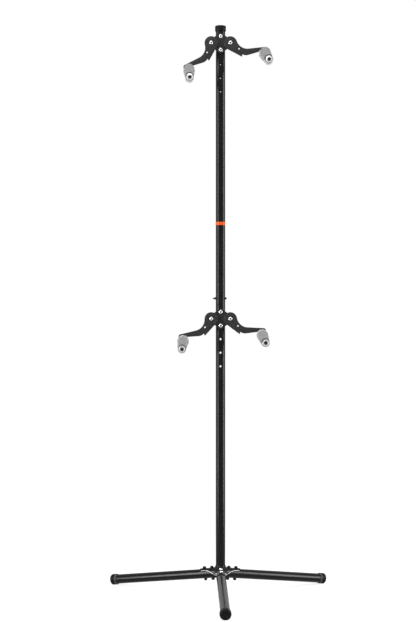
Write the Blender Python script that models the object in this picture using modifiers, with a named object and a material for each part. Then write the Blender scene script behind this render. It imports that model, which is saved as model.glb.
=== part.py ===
"""Free-standing tower stand with two pairs of arms.

A tripod base carries a two-piece pole. Two mounts are bolted to rows of cross holes in the pole, and
each mount has a pair of flat arms that turn on pivot bolts and end in a moulded cradle.

Metres and degrees, +Z up, the front towards -Y, +X to the right as seen from the front. The origin is on
the floor, at the middle of the stand's footprint box.
"""

from math import acos, atan2, ceil, cos, pi, radians, sin, sqrt, tan

import bmesh
import bpy
from mathutils import Matrix, Vector

# Shared sizes
GAP = 0.0003
TUBE_RADIUS = 0.0200
TUBE_WALL = 0.0020
TUBE_BORE = TUBE_RADIUS - TUBE_WALL
FIT_RADIUS = TUBE_RADIUS + GAP
TUBE_SIDES = 32
BOLT_SIDES = 12
CAP_SIDES = 24
ARC_STEP = radians(18)
SHARP_ANGLE = radians(32)
WELD = 0.000002
CUT_MARGIN = 0.0200

# Base: three legs that slope down from the hub
LEG_AZIMUTHS = {"front": -90.0, "right": 30.0, "left": 150.0}
LEG_SLOPE = 7.7
LEG_HEIGHT = 0.0935
LEG_INNER_END = 0.0240
LEG_LENGTH = 0.5416
LEG_BOLT_PLACES = {"inner": 0.0385, "outer": 0.0745}

FOOT_RADIUS = 0.0232
FOOT_LENGTH = 0.0310
FOOT_END_WALL = 0.0033
FOOT_GROOVE_RADIUS = 0.0222

HUB_WALL = 0.0030
HUB_RADIUS = FIT_RADIUS + HUB_WALL
HUB_HALF_WIDTH = 0.0190
HUB_REACH = 0.0965
HUB_FILLET = 0.1000
HUB_UNDERSIDE = 0.0793
HUB_BAR_START = -0.0040
SKIRT_HEIGHT = 0.0143
SKIRT_BEND = 0.0470
SKIRT_BEND_RADIUS = 0.0600
CROTCH_HEIGHT = -0.0098
CROTCH_PLACE = 0.0100
SKIRT_CUT_HALF_WIDTH = 0.0300
SOCKET_FLOOR = 0.1172
COLLAR_TOP = 0.1254

# Pole
POLE_BOTTOM = SOCKET_FLOOR + GAP
POLE_SEAM = 1.2875
POLE_TOP = 2.3898
POLE_EDGE = 0.0010
TOP_CAP_RADIUS = 0.0230
TOP_CAP_LENGTH = 0.0245
TOP_CAP_WALL = 0.0030
HOLE_RADIUS = 0.0045
HOLE_PITCH = 0.0570
HOLE_COUNT = 5
SLEEVE_RADIUS = TUBE_BORE - GAP
SLEEVE_LOW = 1.1978
SLEEVE_HIGH = 1.3778
JOINT_BOLT_HEIGHT = 1.2455
JOINT_TAIL = 0.0070

# Mounts, with depths measured forward from the pole's axis
MOUNT_HEIGHTS = {"lower": 1.1598, "upper": 2.3133}
PIVOT_SPACING = 0.0400
CENTRE_BOLT_RISE = HOLE_PITCH / 2
SADDLE_FRONT = 0.0225
SADDLE_BACK = 0.0240
SADDLE_INNER = 0.0080
SADDLE_HALF_WIDTH = 0.0165
SADDLE_HALF_HEIGHT = 0.0440
SADDLE_TIP_RADIUS = 0.0100
SADDLE_SHOULDER = 0.0220
SADDLE_SHOULDER_RADIUS = 0.0080
PLATE_BACK = SADDLE_FRONT + GAP
PLATE_FRONT = PLATE_BACK + 0.0040
PLATE_SIDE_RADIUS = 0.0120
PLATE_TIP_RADIUS = 0.0140
ARM_BACK = PLATE_FRONT + GAP
ARM_FRONT = ARM_BACK + 0.0060
HEAD_SEAT = ARM_FRONT + GAP
ARM_REACH = 0.1765
ARM_ANGLES = {
    ("lower", "left"): 45.9,
    ("lower", "right"): 34.8,
    ("upper", "left"): 59.2,
    ("upper", "right"): 25.5,
}
SIDES = {"left": -1, "right": 1}

# Arm outline: distances out along the arm and up from it, with the radius of each corner
ARM_CORNERS = [
    (-0.0275, 0.0275, 0.0275),
    (0.0106, 0.0275, 0.0275),
    (0.0505, -0.0064, 0.0460),
    (0.1415, 0.0505, 0.0080),
    (0.1660, 0.0370, 0.0220),
    (0.1967, 0.0034, 0.0145),
    (0.1799, -0.0202, 0.0145),
    (0.1340, 0.0080, 0.0120),
    (0.1270, 0.0215, 0.0030),
    (0.0797, -0.0213, 0.0330),
    (0.0650, -0.0213, 0.0008),
    (0.0710, -0.0310, 0.0025),
    (-0.0275, -0.0276, 0.0275),
]
ARM_SPARE_HOLE = (0.0435, -0.0062, 0.00325)

# Cradle, in its own frame: its bolt at the origin, its trough above it
CRADLE_LEAN = 54.6
CRADLE_RISE = 0.0335
CRADLE_BACK = ARM_FRONT + GAP
FLANGE_FRONT = CRADLE_BACK + 0.0050
TONGUE_BACK = FLANGE_FRONT + 0.0340
TONGUE_FRONT = TONGUE_BACK + 0.0100
WASHER_SEAT = TONGUE_BACK + 0.0060
TONGUE_LEAN = radians(6)
BOSS_RADIUS = 0.0170
FLOOR_RADIUS = 0.0162
FLANGE_RADIUS = 0.0250
TONGUE_RADIUS = 0.0220
SEAT_RADIUS = 0.0176
FLANGE_EDGE = 0.0012
TONGUE_EDGE = 0.0022
PEG_RADIUS = 0.0030
PEG_END = ARM_BACK + 0.0010
JOIN_DEPTH = 0.0025

# Fasteners
M8_RADIUS = 0.0040
M8_HOLE = M8_RADIUS + GAP
M6_RADIUS = 0.0030
M6_HOLE = M6_RADIUS + GAP
MOUNT_HEAD = (0.0080, 0.0045)
CRADLE_HEAD = (0.0080, 0.0050)
LEG_HEAD = (0.0070, 0.0060)
JOINT_HEAD = (0.00525, 0.0055)
CRADLE_WASHER = (0.0135, 0.0020)
LEG_WASHER = (0.0085, 0.0016)
M8_NUT_WIDTH = 0.0130
M8_NUT_HEIGHT = 0.0068
M6_NUT_WIDTH = 0.0100
M6_NUT_HEIGHT = 0.0050
M8_KEY = 0.0055
M6_KEY = 0.0040
TAIL = 0.0018
HEAD_EDGE = 0.0010

# Colour, roughness and metallic value of each finish
FINISHES = {
    "black_paint": ((0.016, 0.016, 0.018), 0.38, 0.0),
    "arm_coating": ((0.045, 0.045, 0.048), 0.70, 0.0),
    "grey_plastic": ((0.285, 0.290, 0.300), 0.55, 0.0),
    "black_rubber": ((0.012, 0.012, 0.013), 0.75, 0.0),
    "bright_zinc": ((0.620, 0.620, 0.600), 0.32, 1.0),
    "black_oxide": ((0.030, 0.030, 0.033), 0.45, 0.6),
}


def clear_scene():
    """Remove every object, so that a second run starts from nothing."""
    for old in list(bpy.data.objects):
        bpy.data.objects.remove(old, do_unlink=True)


def new_collection(name):
    """Collection linked to the scene."""
    collection = bpy.data.collections.new(name)
    bpy.context.scene.collection.children.link(collection)
    return collection


def new_finish(name):
    """Principled material of one of the finishes."""
    colour, roughness, metallic = FINISHES[name]
    material = bpy.data.materials.new(name)
    material.use_nodes = True
    shader = material.node_tree.nodes["Principled BSDF"]
    shader.inputs["Base Color"].default_value = (*colour, 1.0)
    shader.inputs["Roughness"].default_value = roughness
    shader.inputs["Metallic"].default_value = metallic
    material.diffuse_color = (*colour, 1.0)
    return material


clear_scene()
stand_parts = new_collection("two_bike_tower_stand")
cutters = new_collection("cutters")
finishes = {name: new_finish(name) for name in FINISHES}


def place(name, data, collection, parent=None, location=(0, 0, 0), rotation=(0, 0, 0)):
    """Object made from mesh data, or an empty where data is None."""
    made = bpy.data.objects.new(name, data)
    collection.objects.link(made)
    made.parent = parent
    made.location = location
    made.rotation_euler = [radians(angle) for angle in rotation]
    return made


def cutter(name, data, parent=None, location=(0, 0, 0), rotation=(0, 0, 0)):
    """Guide shape that others are cut or joined with."""
    made = place(name, data, cutters, parent, location, rotation)
    made.hide_render = True
    made.display_type = "WIRE"
    return made


def part(name, data, finish, parent, location=(0, 0, 0), rotation=(0, 0, 0)):
    """One piece of the stand, in its finish."""
    if not data.materials:
        data.materials.append(finishes[finish])
    return place(name, data, stand_parts, parent, location, rotation)


def combine(target, operation, tool):
    """Boolean modifier that cuts, joins or intersects the target with the tool."""
    boolean = target.modifiers.new(tool.name, "BOOLEAN")
    boolean.operation = operation
    boolean.solver = "EXACT"
    boolean.object = tool


def evaluated_mesh(source):
    """Mesh of an object with its modifiers applied and its loose seams welded."""
    graph = bpy.context.evaluated_depsgraph_get()
    mesh = bpy.data.meshes.new_from_object(source.evaluated_get(graph))
    shape = bmesh.new()
    shape.from_mesh(mesh)
    bmesh.ops.remove_doubles(shape, verts=shape.verts, dist=WELD)
    shape.to_mesh(mesh)
    shape.free()
    mesh.shade_smooth()
    mesh.set_sharp_from_angle(angle=SHARP_ANGLE)
    mesh.name = source.name
    return mesh


def settle(target):
    """Apply the modifiers of a piece and keep its material."""
    finish = target.data.materials[0]
    mesh = evaluated_mesh(target)
    mesh.materials.clear()
    mesh.materials.append(finish)
    target.modifiers.clear()
    target.data = mesh


def moved(mesh, matrix):
    """The same mesh after a move or turn of its points."""
    mesh.transform(matrix)
    return mesh


def combined_mesh(name, base, steps):
    """Mesh of a repeated piece: a base mesh joined with, or cut by, others in turn."""
    target = place(name, base, cutters)
    tools = []
    for operation, mesh in steps:
        tools.append(place(name + "_tool", mesh, cutters))
        combine(target, operation, tools[-1])
    result = evaluated_mesh(target)
    result.materials.clear()
    for used in [target] + tools:
        bpy.data.objects.remove(used)
    return result


def turned_object(name, points, steps, collection, closed=False):
    """Object turned about Z from a chain of (radius, height) points, its outer side running down."""
    mesh = bpy.data.meshes.new(name)
    shape = bmesh.new()
    verts = [shape.verts.new((radius, 0.0, height)) for radius, height in points]
    ends = verts[1:] + verts[:1] if closed else verts[1:]
    for start, end in zip(verts, ends):
        shape.edges.new((start, end))
    shape.to_mesh(mesh)
    shape.free()
    turned = place(name, mesh, collection)
    screw = turned.modifiers.new("turn", "SCREW")
    screw.steps = steps
    screw.render_steps = steps
    screw.use_merge_vertices = True
    screw.merge_threshold = 0.00001
    return turned


def turned_mesh(name, points, steps, closed=False):
    """Mesh of a turned shape."""
    turned = turned_object(name, points, steps, cutters, closed)
    mesh = evaluated_mesh(turned)
    bpy.data.objects.remove(turned)
    return mesh


def cylinder_mesh(name, radius, low, high, sides, axis="Z"):
    """Cylinder between two distances along +Z, or along +X, or along -Y, which is forward."""
    shape = bmesh.new()
    bmesh.ops.create_cone(shape, cap_ends=True, segments=sides, radius1=radius, radius2=radius,
                          depth=high - low, matrix=Matrix.Translation((0, 0, (low + high) / 2)))
    mesh = bpy.data.meshes.new(name)
    shape.to_mesh(mesh)
    shape.free()
    if axis == "X":
        mesh.transform(Matrix.Rotation(radians(90), 4, "Y"))
    if axis == "FORWARD":
        mesh.transform(Matrix.Rotation(radians(90), 4, "X"))
    return mesh


def hexagon_mesh(name, width, low, high):
    """Hexagonal prism of a given width across flats, between two heights."""
    return cylinder_mesh(name, width / 2 / cos(pi / 6), low, high, 6)


def circle_outline(x, y, radius, sides=BOLT_SIDES):
    """Points of a circle."""
    angles = [2 * pi * i / sides for i in range(sides)]
    return [(x + radius * cos(angle), y + radius * sin(angle)) for angle in angles]


def arc_points(centre, radius, start, turn):
    """Points along an arc, from its start angle through its turn."""
    steps = max(2, ceil(abs(turn) / ARC_STEP))
    angles = [start + turn * i / steps for i in range(steps + 1)]
    return [(centre[0] + radius * cos(angle), centre[1] + radius * sin(angle)) for angle in angles]


def belt_outline(circles):
    """Outline of a belt drawn tight round circles (x, y, radius), anticlockwise."""
    tangents = []
    for here, after in zip(circles, circles[1:] + circles[:1]):
        step = Vector(after[:2]) - Vector(here[:2])
        tangents.append(atan2(step.y, step.x) - acos((here[2] - after[2]) / step.length))
    outline = []
    for index, (x, y, radius) in enumerate(circles):
        turn = (tangents[index] - tangents[index - 1]) % (2 * pi)
        outline += arc_points((x, y), radius, tangents[index - 1], turn)
    return outline


def rounded_outline(corners):
    """Outline through corners (x, y, radius), each rounded to its radius."""
    outline = []
    for index, (x, y, radius) in enumerate(corners):
        here = Vector((x, y))
        back = (Vector(corners[index - 1][:2]) - here).normalized()
        ahead = (Vector(corners[(index + 1) % len(corners)][:2]) - here).normalized()
        if radius == 0:
            outline.append((x, y))
            continue
        half = back.angle(ahead) / 2
        centre = here + (back + ahead).normalized() * radius / sin(half)
        start = here + back * radius / tan(half) - centre
        end = here + ahead * radius / tan(half) - centre
        turn = atan2(start.cross(end), start.dot(end))
        outline += arc_points(centre, radius, atan2(start.y, start.x), turn)
    return outline


def flat_mesh(name, outline, holes, low, high, edge=0.0):
    """Plate in the XY plane between two heights, with holes, made from a filled flat curve."""
    curve = bpy.data.curves.new(name, "CURVE")
    curve.dimensions = "2D"
    curve.fill_mode = "BOTH"
    curve.extrude = (high - low) / 2 - edge
    curve.bevel_depth = edge
    curve.bevel_resolution = 0
    curve.offset = -edge
    for loop in [outline] + holes:
        spline = curve.splines.new("POLY")
        spline.points.add(len(loop) - 1)
        spline.use_cyclic_u = True
        for point, (x, y) in zip(spline.points, loop):
            point.co = (x, y, 0.0, 1.0)
    drawn = place(name, curve, cutters)
    mesh = evaluated_mesh(drawn)
    bpy.data.objects.remove(drawn)
    return moved(mesh, Matrix.Translation((0, 0, (low + high) / 2)))


def upright_mesh(name, outline, holes, near, far, edge=0.0):
    """Plate that stands across the Y axis, from one depth to another in front of the pole's axis."""
    flat = flat_mesh(name, outline, holes, near, far, edge)
    return moved(flat, Matrix.Rotation(radians(90), 4, "X"))


def tube_profile(radius, bore, low, high, low_edge=0.0, high_edge=0.0):
    """Closed section of a tube, with an optional bevel on the outer edge of each end."""
    outer = [(radius, high), (radius, low)]
    if high_edge:
        outer[0:1] = [(radius - high_edge, high), (radius, high - high_edge)]
    if low_edge:
        outer[-1:] = [(radius, low + low_edge), (radius - low_edge, low)]
    return outer + [(bore, low), (bore, high)]


def bolt_mesh(name, head, shank, length, key, washer=None, nut=None):
    """Socket bolt with its head above the XY plane and its shank below it.

    head and washer are (radius, height). nut is (width, seat, height): a nut that stays on the shank.
    """
    head_radius, head_height = head
    seat = washer[1] if washer else 0.0
    top = seat + head_height
    points = [(0, top), (head_radius - HEAD_EDGE, top), (head_radius, top - HEAD_EDGE)]
    if washer:
        points += [(head_radius, seat), (washer[0], seat), (washer[0], 0)]
    else:
        points += [(head_radius, 0)]
    points += [(shank, 0), (shank, HEAD_EDGE - length), (shank - HEAD_EDGE, -length), (0, -length)]
    body = turned_mesh(name, points, BOLT_SIDES)
    steps = [("DIFFERENCE", hexagon_mesh(name, key, top - 0.6 * head_height, top + head_height))]
    if nut:
        width, nut_seat, height = nut
        steps.append(("UNION", hexagon_mesh(name, width, -nut_seat - height, -nut_seat)))
    return combined_mesh(name, body, steps)


def nut_mesh(name, width, height, bore):
    """Hexagon nut that lies behind the XZ plane, its seat on the plane."""
    hexagon = circle_outline(0, 0, width / 2 / cos(pi / 6), 6)
    return upright_mesh(name, hexagon, [circle_outline(0, 0, bore)], -height, 0)


def foot_profile():
    """Half section of a foot cap, its end face at height 0 and its mouth below."""
    return [
        (0, -0.0010), (0.0085, -0.0010), (0.0095, 0), (0.0150, 0), (0.0195, -0.0012), (0.0222, -0.0040),
        (FOOT_RADIUS, -0.0080), (FOOT_RADIUS, -0.0130), (FOOT_GROOVE_RADIUS, -0.0145),
        (FOOT_GROOVE_RADIUS, -0.0160), (FOOT_RADIUS, -0.0175), (FOOT_RADIUS, -0.0240),
        (FOOT_GROOVE_RADIUS - 0.0004, -FOOT_LENGTH), (FIT_RADIUS, -FOOT_LENGTH),
        (FIT_RADIUS, -FOOT_END_WALL), (0, -FOOT_END_WALL),
    ]


def footprint_reach(along):
    """How far a foot cap reaches from the pole's axis, where its leg has the cosine along with that way."""
    across = sqrt(1 - along ** 2)
    return max((LEG_LENGTH + height) * along + radius * across for radius, height in foot_profile())


def make_base(stand):
    """Hub plate, legs, foot caps and leg bolts."""
    leg_axes = {}
    bolt_holes = {}
    pitch = LEG_BOLT_PLACES["outer"] - LEG_BOLT_PLACES["inner"]
    reach = HUB_RADIUS + CUT_MARGIN
    for side, azimuth in LEG_AZIMUTHS.items():
        turn = (0, 90 + LEG_SLOPE, azimuth)
        axis = place("leg_axis_" + side, None, stand_parts, stand, (0, 0, LEG_HEIGHT), turn)
        leg_axes[side] = axis
        drill = cylinder_mesh("leg_bolt_hole", M8_HOLE, -reach, reach, BOLT_SIDES, "X")
        holes = cutter("leg_bolt_holes_" + side, drill, axis, (0, 0, LEG_BOLT_PLACES["inner"]))
        repeat = holes.modifiers.new("pair", "ARRAY")
        repeat.use_relative_offset = False
        repeat.use_constant_offset = True
        repeat.constant_offset_displace = (0, 0, pitch)
        bolt_holes[side] = holes
    make_hub_plate(stand, leg_axes, bolt_holes)
    for side, axis in leg_axes.items():
        make_leg(side, axis, bolt_holes[side])
    make_leg_bolts(leg_axes)


def hub_form(name, radius, leg_axes):
    """Guide shape: three round bars of one radius, joined where they meet at the pole's axis.

    Each bar is turned a little differently, so that no two of them have edges in the same place.
    """
    bars = []
    facet = 360 / TUBE_SIDES
    for index, (side, axis) in enumerate(leg_axes.items()):
        bar = cylinder_mesh(name, radius, HUB_BAR_START, HUB_REACH + CUT_MARGIN, TUBE_SIDES)
        turn = facet * (0.10 + 0.15 * index)
        bars.append(cutter(name + "_" + side, bar, axis, rotation=(0, 0, turn)))
    for other in bars[1:]:
        combine(bars[0], "UNION", other)
    return bars[0]


def hub_outline():
    """Plan of the hub plate: three round-ended arms with a wide fillet between each two."""
    corners = []
    crotch = HUB_HALF_WIDTH / sin(radians(60))
    for azimuth in LEG_AZIMUTHS.values():
        out = Vector((cos(radians(azimuth)), sin(radians(azimuth))))
        across = Vector((-out.y, out.x)) * HUB_HALF_WIDTH
        between = radians(azimuth + 60)
        for edge in (-across, across):
            corners.append((*(out * HUB_REACH + edge), HUB_HALF_WIDTH * 0.999))
        corners.append((crotch * cos(between), crotch * sin(between), HUB_FILLET))
    return rounded_outline(corners)


def collar_profile():
    """Half section of the collar, its top at height 0, flaring into the saddles below."""
    return [
        (0, 0), (0.0214, 0), (0.0221, -0.0034), (0.0236, -0.0064), (0.0260, -0.0088),
        (0.0290, -0.0102), (0.0290, -0.0116), (0.0258, -0.0301), (0, -0.0301),
    ]


def skirt_outline():
    """What is cut away below a saddle's edge, as (distance below the leg's axis, distance along it)."""
    end = HUB_REACH + CUT_MARGIN
    below = HUB_RADIUS + CUT_MARGIN
    return rounded_outline([
        (-SKIRT_HEIGHT, end, 0), (-SKIRT_HEIGHT, SKIRT_BEND, SKIRT_BEND_RADIUS),
        (-CROTCH_HEIGHT, CROTCH_PLACE, 0), (below, CROTCH_PLACE, 0), (below, end, 0),
    ])


def make_hub_plate(stand, leg_axes, bolt_holes):
    """Pressed saddle over the three legs, with the flared collar that the pole stands in."""
    blank = flat_mesh("hub_plate", hub_outline(), [], HUB_UNDERSIDE, COLLAR_TOP)
    hub = part("hub_plate", blank, "black_paint", stand)
    combine(hub, "INTERSECT", hub_form("hub_outer", HUB_RADIUS, leg_axes))

    collar = turned_mesh("hub_collar", collar_profile(), TUBE_SIDES)
    combine(hub, "UNION", cutter("hub_collar", collar, stand, (0, 0, COLLAR_TOP)))
    combine(hub, "DIFFERENCE", hub_form("hub_inner", FIT_RADIUS, leg_axes))
    socket = cylinder_mesh("hub_socket", FIT_RADIUS, SOCKET_FLOOR, COLLAR_TOP + CUT_MARGIN, TUBE_SIDES)
    combine(hub, "DIFFERENCE", cutter("hub_socket", socket, stand))

    skirt = skirt_outline()
    for side, axis in leg_axes.items():
        below = upright_mesh("hub_skirt", skirt, [], -SKIRT_CUT_HALF_WIDTH, SKIRT_CUT_HALF_WIDTH)
        combine(hub, "DIFFERENCE", cutter("hub_skirt_" + side, below, axis))
        combine(hub, "DIFFERENCE", bolt_holes[side])
    settle(hub)


def make_leg(side, axis, holes):
    """Leg tube, and the rubber cap on its end with its flat on the floor."""
    tube = tube_profile(TUBE_RADIUS, TUBE_BORE, LEG_INNER_END, LEG_LENGTH - FOOT_END_WALL - GAP)
    leg = part("leg_" + side, turned_mesh("leg", tube, TUBE_SIDES, closed=True), "black_paint", axis)
    combine(leg, "DIFFERENCE", holes)
    settle(leg)

    cap_mesh = turned_mesh("foot_cap", foot_profile(), CAP_SIDES)
    cap = part("foot_cap_" + side, cap_mesh, "black_rubber", axis, (0, 0, LEG_LENGTH))
    width = 2 * (LEG_LENGTH + CUT_MARGIN)
    floor = bmesh.new()
    bmesh.ops.create_cube(floor, size=width, matrix=Matrix.Translation((0, 0, -width / 2)))
    floor_mesh = bpy.data.meshes.new("below_floor")
    floor.to_mesh(floor_mesh)
    floor.free()
    combine(cap, "DIFFERENCE", cutter("below_floor_" + side, floor_mesh, axis.parent))
    settle(cap)


def make_leg_bolts(leg_axes):
    """Two bolts through the hub plate and each leg, each with its washer and nut."""
    nut_seat = HUB_RADIUS + TUBE_RADIUS + 2 * GAP
    length = nut_seat + M8_NUT_HEIGHT + TAIL
    nut = (M8_NUT_WIDTH, nut_seat, M8_NUT_HEIGHT)
    mesh = bolt_mesh("leg_bolt", LEG_HEAD, M8_RADIUS, length, M8_KEY, LEG_WASHER, nut)
    for side, axis in leg_axes.items():
        for place_name, distance in LEG_BOLT_PLACES.items():
            seat = (-HUB_RADIUS - GAP, 0, distance)
            part("leg_bolt_" + side + "_" + place_name, mesh, "bright_zinc", axis, seat, (0, -90, 0))


def hole_row(name, stand, top):
    """Row of cross holes, front to back through the pole, going down from the top one."""
    reach = TUBE_RADIUS + CUT_MARGIN
    drill = cylinder_mesh(name, HOLE_RADIUS, -reach, reach, BOLT_SIDES, "FORWARD")
    holes = cutter(name, drill, stand, (0, 0, top))
    repeat = holes.modifiers.new("row", "ARRAY")
    repeat.count = HOLE_COUNT
    repeat.use_relative_offset = False
    repeat.use_constant_offset = True
    repeat.constant_offset_displace = (0, 0, -HOLE_PITCH)
    return holes


def top_cap_profile():
    """Half section of the cap on the pole, its top face at height 0 and its mouth below."""
    return [
        (0, 0), (0.0175, 0), (0.0205, -0.0008), (0.0225, -0.0028), (TOP_CAP_RADIUS, -0.0055),
        (TOP_CAP_RADIUS, -0.0190), (0.0213, -TOP_CAP_LENGTH), (FIT_RADIUS, -TOP_CAP_LENGTH),
        (FIT_RADIUS, -TOP_CAP_WALL), (0, -TOP_CAP_WALL),
    ]


def make_pole(stand):
    """Two pole tubes, the sleeve and cross bolt that join them, and the cap on top."""
    reach = TUBE_RADIUS + CUT_MARGIN
    cross_hole = cylinder_mesh("joint_hole", M6_HOLE, -reach, reach, BOLT_SIDES, "X")
    cross = cutter("joint_hole", cross_hole, stand, (0, 0, JOINT_BOLT_HEIGHT))

    low = tube_profile(TUBE_RADIUS, TUBE_BORE, POLE_BOTTOM, POLE_SEAM - GAP, high_edge=POLE_EDGE)
    tube = turned_mesh("lower_pole", low, TUBE_SIDES, closed=True)
    lower = part("lower_pole", tube, "black_paint", stand)
    lower_hole = MOUNT_HEIGHTS["lower"] + CENTRE_BOLT_RISE
    combine(lower, "DIFFERENCE", hole_row("lower_holes", stand, lower_hole))
    combine(lower, "DIFFERENCE", cross)
    settle(lower)

    tube_end = POLE_TOP - TOP_CAP_WALL - GAP
    high = tube_profile(TUBE_RADIUS, TUBE_BORE, POLE_SEAM, tube_end, low_edge=POLE_EDGE)
    tube = turned_mesh("upper_pole", high, TUBE_SIDES, closed=True)
    upper = part("upper_pole", tube, "black_paint", stand)
    upper_hole = MOUNT_HEIGHTS["upper"] + CENTRE_BOLT_RISE
    combine(upper, "DIFFERENCE", hole_row("upper_holes", stand, upper_hole))
    settle(upper)

    ring = tube_profile(SLEEVE_RADIUS, SLEEVE_RADIUS - TUBE_WALL, SLEEVE_LOW, SLEEVE_HIGH)
    inner = turned_mesh("joint_sleeve", ring, TUBE_SIDES, closed=True)
    sleeve = part("joint_sleeve", inner, "black_paint", stand)
    combine(sleeve, "DIFFERENCE", cross)
    settle(sleeve)

    length = 2 * FIT_RADIUS + M6_NUT_HEIGHT + JOINT_TAIL
    bolt = bolt_mesh("joint_bolt", JOINT_HEAD, M6_RADIUS, length, M6_KEY)
    part("joint_bolt", bolt, "black_oxide", stand, (FIT_RADIUS, 0, JOINT_BOLT_HEIGHT), (0, 90, 0))
    nut = nut_mesh("joint_nut", M6_NUT_WIDTH, M6_NUT_HEIGHT, M6_HOLE)
    part("joint_nut", nut, "black_oxide", stand, (-FIT_RADIUS, 0, JOINT_BOLT_HEIGHT), (0, 0, 90))

    cap = turned_mesh("top_cap", top_cap_profile(), CAP_SIDES)
    part("top_cap", cap, "black_rubber", stand, (0, 0, POLE_TOP))


def saddle_mesh(name, near, far):
    """Block that is hollowed to sit on the pole and flat on its other side."""
    tip = (SADDLE_HALF_HEIGHT, SADDLE_TIP_RADIUS)
    shoulder = (SADDLE_SHOULDER, SADDLE_SHOULDER_RADIUS)
    outline = rounded_outline([
        (0, -tip[0], tip[1]), (SADDLE_HALF_WIDTH, -shoulder[0], shoulder[1]),
        (SADDLE_HALF_WIDTH, *shoulder), (0, *tip),
        (-SADDLE_HALF_WIDTH, *shoulder), (-SADDLE_HALF_WIDTH, -shoulder[0], shoulder[1]),
    ])
    holes = [circle_outline(0, rise, M8_HOLE) for rise in (-CENTRE_BOLT_RISE, CENTRE_BOLT_RISE)]
    block = upright_mesh(name, outline, holes, near, far)
    reach = SADDLE_HALF_HEIGHT + CUT_MARGIN
    pole = cylinder_mesh(name, FIT_RADIUS, -reach, reach, TUBE_SIDES)
    return combined_mesh(name, block, [("DIFFERENCE", pole)])


def centre_plate_mesh():
    """Rounded rhombus with two holes for the centre bolts and two for the pivots."""
    outline = belt_outline([
        (PIVOT_SPACING, 0, PLATE_SIDE_RADIUS), (0, CENTRE_BOLT_RISE, PLATE_TIP_RADIUS),
        (-PIVOT_SPACING, 0, PLATE_SIDE_RADIUS), (0, -CENTRE_BOLT_RISE, PLATE_TIP_RADIUS),
    ])
    places = [(PIVOT_SPACING, 0), (-PIVOT_SPACING, 0), (0, CENTRE_BOLT_RISE), (0, -CENTRE_BOLT_RISE)]
    holes = [circle_outline(x, z, M8_HOLE) for x, z in places]
    return upright_mesh("centre_plate", outline, holes, PLATE_BACK, PLATE_FRONT)


def arm_mesh(name, side):
    """Flat arm with holes for its pivot, its cradle's bolt and peg, and a spare one."""
    lean = radians(CRADLE_LEAN)
    peg = (ARM_REACH - CRADLE_RISE * sin(lean), CRADLE_RISE * cos(lean), PEG_RADIUS + GAP)
    outline = rounded_outline([(side * x, z, radius) for x, z, radius in ARM_CORNERS])
    holes = [(0, 0, M8_HOLE), (ARM_REACH, 0, M8_HOLE), peg, ARM_SPARE_HOLE]
    loops = [circle_outline(side * x, z, radius) for x, z, radius in holes]
    return upright_mesh(name, outline, loops, ARM_BACK, ARM_FRONT)


def cradle_mesh():
    """Moulded cradle: a flange on the arm, a round trough floor and a tongue that leans forward."""
    outline = belt_outline([(0, 0, BOSS_RADIUS), (0, CRADLE_RISE, FLANGE_RADIUS)])
    flange = upright_mesh("cradle", outline, [], CRADLE_BACK, FLANGE_FRONT, FLANGE_EDGE)

    outline = belt_outline([(0, 0, BOSS_RADIUS), (0, CRADLE_RISE, TONGUE_RADIUS)])
    tongue = upright_mesh("tongue", outline, [], TONGUE_BACK, TONGUE_FRONT, TONGUE_EDGE)
    foot_of_tongue = Vector((0, -TONGUE_BACK, FLOOR_RADIUS))
    tongue.transform(Matrix.Translation(-foot_of_tongue))
    tongue.transform(Matrix.Rotation(TONGUE_LEAN, 4, "X"))
    tongue.transform(Matrix.Translation(foot_of_tongue))

    inside = CRADLE_BACK + JOIN_DEPTH
    beyond = TONGUE_FRONT + CUT_MARGIN
    floor = cylinder_mesh("floor", FLOOR_RADIUS, inside, WASHER_SEAT - JOIN_DEPTH, CAP_SIDES, "FORWARD")
    seat = cylinder_mesh("seat", SEAT_RADIUS, WASHER_SEAT, beyond, CAP_SIDES, "FORWARD")
    hole = cylinder_mesh("hole", M8_HOLE, ARM_BACK, beyond, BOLT_SIDES, "FORWARD")
    peg = cylinder_mesh("peg", PEG_RADIUS, PEG_END, inside, BOLT_SIDES, "FORWARD")
    peg.transform(Matrix.Translation((0, 0, CRADLE_RISE)))
    joined = [("UNION", floor), ("UNION", tongue)]
    cut = [("DIFFERENCE", seat), ("DIFFERENCE", hole)]
    return combined_mesh("cradle", flange, joined + cut + [("UNION", peg)])


def mount_meshes():
    """Meshes that both mounts share."""
    centre_length = PLATE_FRONT + GAP + SADDLE_BACK + GAP + M8_NUT_HEIGHT + TAIL
    pivot_length = HEAD_SEAT - SADDLE_FRONT + M8_NUT_HEIGHT + TAIL
    cradle_length = WASHER_SEAT + GAP - ARM_BACK + GAP + M8_NUT_HEIGHT + TAIL
    head, washer = CRADLE_HEAD, CRADLE_WASHER
    return {
        "centre_plate": centre_plate_mesh(),
        "front_saddle": saddle_mesh("front_saddle", SADDLE_INNER, SADDLE_FRONT),
        "rear_saddle": saddle_mesh("rear_saddle", -SADDLE_BACK, -SADDLE_INNER),
        "centre_bolt": bolt_mesh("centre_bolt", MOUNT_HEAD, M8_RADIUS, centre_length, M8_KEY),
        "pivot_bolt": bolt_mesh("pivot_bolt", MOUNT_HEAD, M8_RADIUS, pivot_length, M8_KEY),
        "cradle_bolt": bolt_mesh("cradle_bolt", head, M8_RADIUS, cradle_length, M8_KEY, washer),
        "nut": nut_mesh("nut", M8_NUT_WIDTH, M8_NUT_HEIGHT, M8_HOLE),
        "cradle": cradle_mesh(),
        "arm_left": arm_mesh("arm_left", SIDES["left"]),
        "arm_right": arm_mesh("arm_right", SIDES["right"]),
    }


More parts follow.
